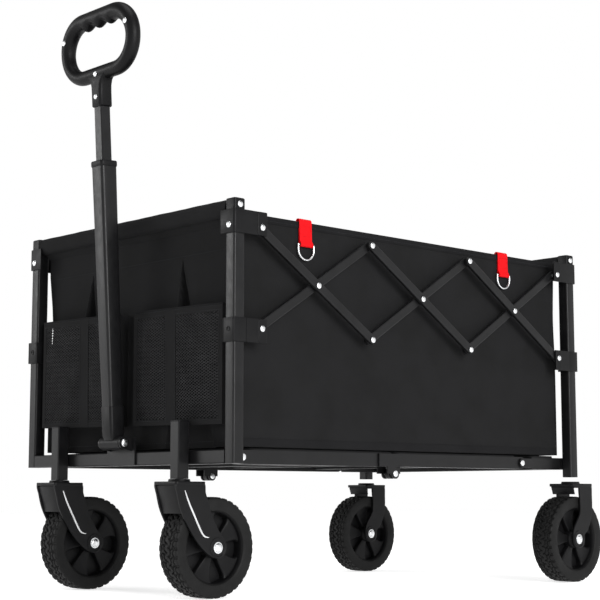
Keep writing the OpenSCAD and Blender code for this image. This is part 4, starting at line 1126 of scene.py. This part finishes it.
def grip_loop():
    """Oval loop: the centre line is two half rings of radius 48.5 joined by straights of 89, carried
    round by an ellipse that is 14 across and up to 15 thick, thinner at the foot. Inside the top run
    the surface swells in three ridges, 33 apart, between the fingers."""
    r, flat, n = 48.5, 89.0, 360
    length = 2 * pi * r + 2 * flat
    s = np.arange(n) * length / n
    y, z = np.zeros(n), np.zeros(n)
    half, arc_l = flat / 2, pi * r
    m = s < half
    y[m], z[m] = s[m], r
    m = (s >= half) & (s < half + arc_l)
    q = (s[m] - half) / r
    y[m], z[m] = half + r * np.sin(q), r * np.cos(q)
    m = (s >= half + arc_l) & (s < half + arc_l + flat)
    y[m], z[m] = half - (s[m] - half - arc_l), -r
    m = (s >= half + arc_l + flat) & (s < length - half)
    q = (s[m] - half - arc_l - flat) / r
    y[m], z[m] = -half - r * np.sin(q), -r * np.cos(q)
    m = s >= length - half
    y[m], z[m] = -(length - s[m]), r
    path = np.stack([np.zeros(n), y, z + LOOP_FOOT + r], 1)
    a = np.arange(30) * 2 * pi / 30
    top = np.clip(z / r, 0, 1)
    thick = 12.4 + 1.8 * top
    wide = 12.6 + 1.4 * top
    across, up = np.cos(a)[None] * wide[:, None], np.sin(a)[None] * thick[:, None]
    tangent = np.roll(path, -1, 0) - np.roll(path, 1, 0)
    tangent /= np.linalg.norm(tangent, axis=1, keepdims=True)
    outward_way = np.cross(tangent, [1.0, 0, 0])
    outward_way *= np.sign((outward_way * (path - path.mean(0))).sum(1, keepdims=True))
    inner = np.clip(-np.sin(a), 0, 1)[None] ** 1.5
    on_top = 1 / (1 + np.exp(-(z - 34) / 3))
    ridge = 4.6 * np.cos(2 * pi * y / 33.0) * (np.abs(y) < 41.5) * on_top
    up = up - inner * ridge[:, None]
    patch_area = np.clip(np.sin(a) - 0.25, 0, 1)[None] * (np.abs(y) < 46)[:, None] * on_top[:, None]
    studs = 0.35 * np.sin(2 * pi * y / 5.0)[:, None] * np.sin(9 * a)[None] * (patch_area > 0)
    up = up + studs * np.sin(a)[None]
    rings = path[:, None] + across[..., None] * np.array([1.0, 0, 0]) + up[..., None] * outward_way[:, None]
    return tube(rings, True)


socket = squares([(0.01, 0.01, SOCKET_Z - 0.5), (25, 25, SOCKET_Z - 0.5), (26.6, 27, SOCKET_Z + 1),
                  (26.4, 27.4, SOCKET_Z + 24),
                  (26, 29, SOCKET_Z + 36), (25, 36, SOCKET_Z + 45), (23, 52, SOCKET_Z + 53),
                  (18, 60, SOCKET_Z + 57),
                  (0.01, 0.01, SOCKET_Z + 58)], 0.2)
piece("grip_loop", [on_handle(grip_loop()), on_handle(socket)],
      SOFT_TOUCH, "handle_top", ["grip"], 60)
screws = []
for y, z, x, r in ((0, SOCKET_Z + 16, -13.0, 4.4), (0, LOOP_FOOT - 3, -12.3, 4.6),
                   (-88.6, LOOP_FOOT + 69, -12.9, 4.8),
                   (88.6, LOOP_FOOT + 69, -12.9, 4.8)):
    screws.append(on_handle(lathe([(p, -q) for p, q in dome(r, 1.9, 0.3)], (x, y, z), 0)))
piece("grip_screw_heads", screws, ZINC, "handle_top", ["grip_screws"])

# ---------- studio ----------

floor_mesh = bpy.data.meshes.new("studio_floor")
FLOOR_HALF, FLOOR_DROP = 9, 0.0005  # metres: half its side, and how far it lies below the wheels
floor_mesh.from_pydata([(x * FLOOR_HALF, y * FLOOR_HALF, -FLOOR_DROP)
                        for x, y in ((-1, -1), (1, -1), (1, 1), (-1, 1))], [], [(0, 1, 2, 3)])
floor = bpy.data.objects.new("studio_floor", floor_mesh)
bpy.context.scene.collection.objects.link(floor)
paper, _, _ = shader("matte_paper", **{"Base Color": linear("#f7f7f7"), "Roughness": 0.95,
                                       "Emission Color": linear("#ffffff"), "Emission Strength": 0.62})
floor_mesh.materials.append(paper)

world = bpy.data.worlds.new("studio")
bpy.context.scene.world = world
world.use_nodes = True
sky = world.node_tree
# white near the horizon, so that every side view has a white backdrop, and dim overhead
height = add(sky, "ShaderNodeSeparateXYZ", {"Vector": add(sky, "ShaderNodeTexCoord").outputs["Generated"]})
dim = add(sky, "ShaderNodeMapRange", {"Value": height.outputs["Z"], "From Min": 0.34, "From Max": 0.62,
                                      "To Min": 1.0, "To Max": 0.22})
sky.links.new(dim.outputs["Result"], sky.nodes["Background"].inputs["Strength"])
sky.nodes["Background"].inputs["Color"].default_value = (1, 1, 1, 1)
bpy.context.scene.view_settings.view_transform = "Standard"


def softbox(name, place, size, power, aim_at=(0, 0, 0.4)):
    """Square lamp of the given size in metres and power in watts, turned towards a point."""
    lamp = bpy.data.lights.new(name, "AREA")
    lamp.size, lamp.energy = size, power
    made = bpy.data.objects.new(name, lamp)
    made.location = place
    made.rotation_euler = (Vector(aim_at) - Vector(place)).to_track_quat("-Z", "Y").to_euler()
    bpy.context.scene.collection.objects.link(made)


softbox("front_softbox", (-3.6, 3.6, 1.6), 1.6, 60)
softbox("side_softbox", (-0.9, -4.6, 1.6), 2.4, 190)
softbox("top_softbox", (-0.6, -0.4, 3.6), 2.0, 40)
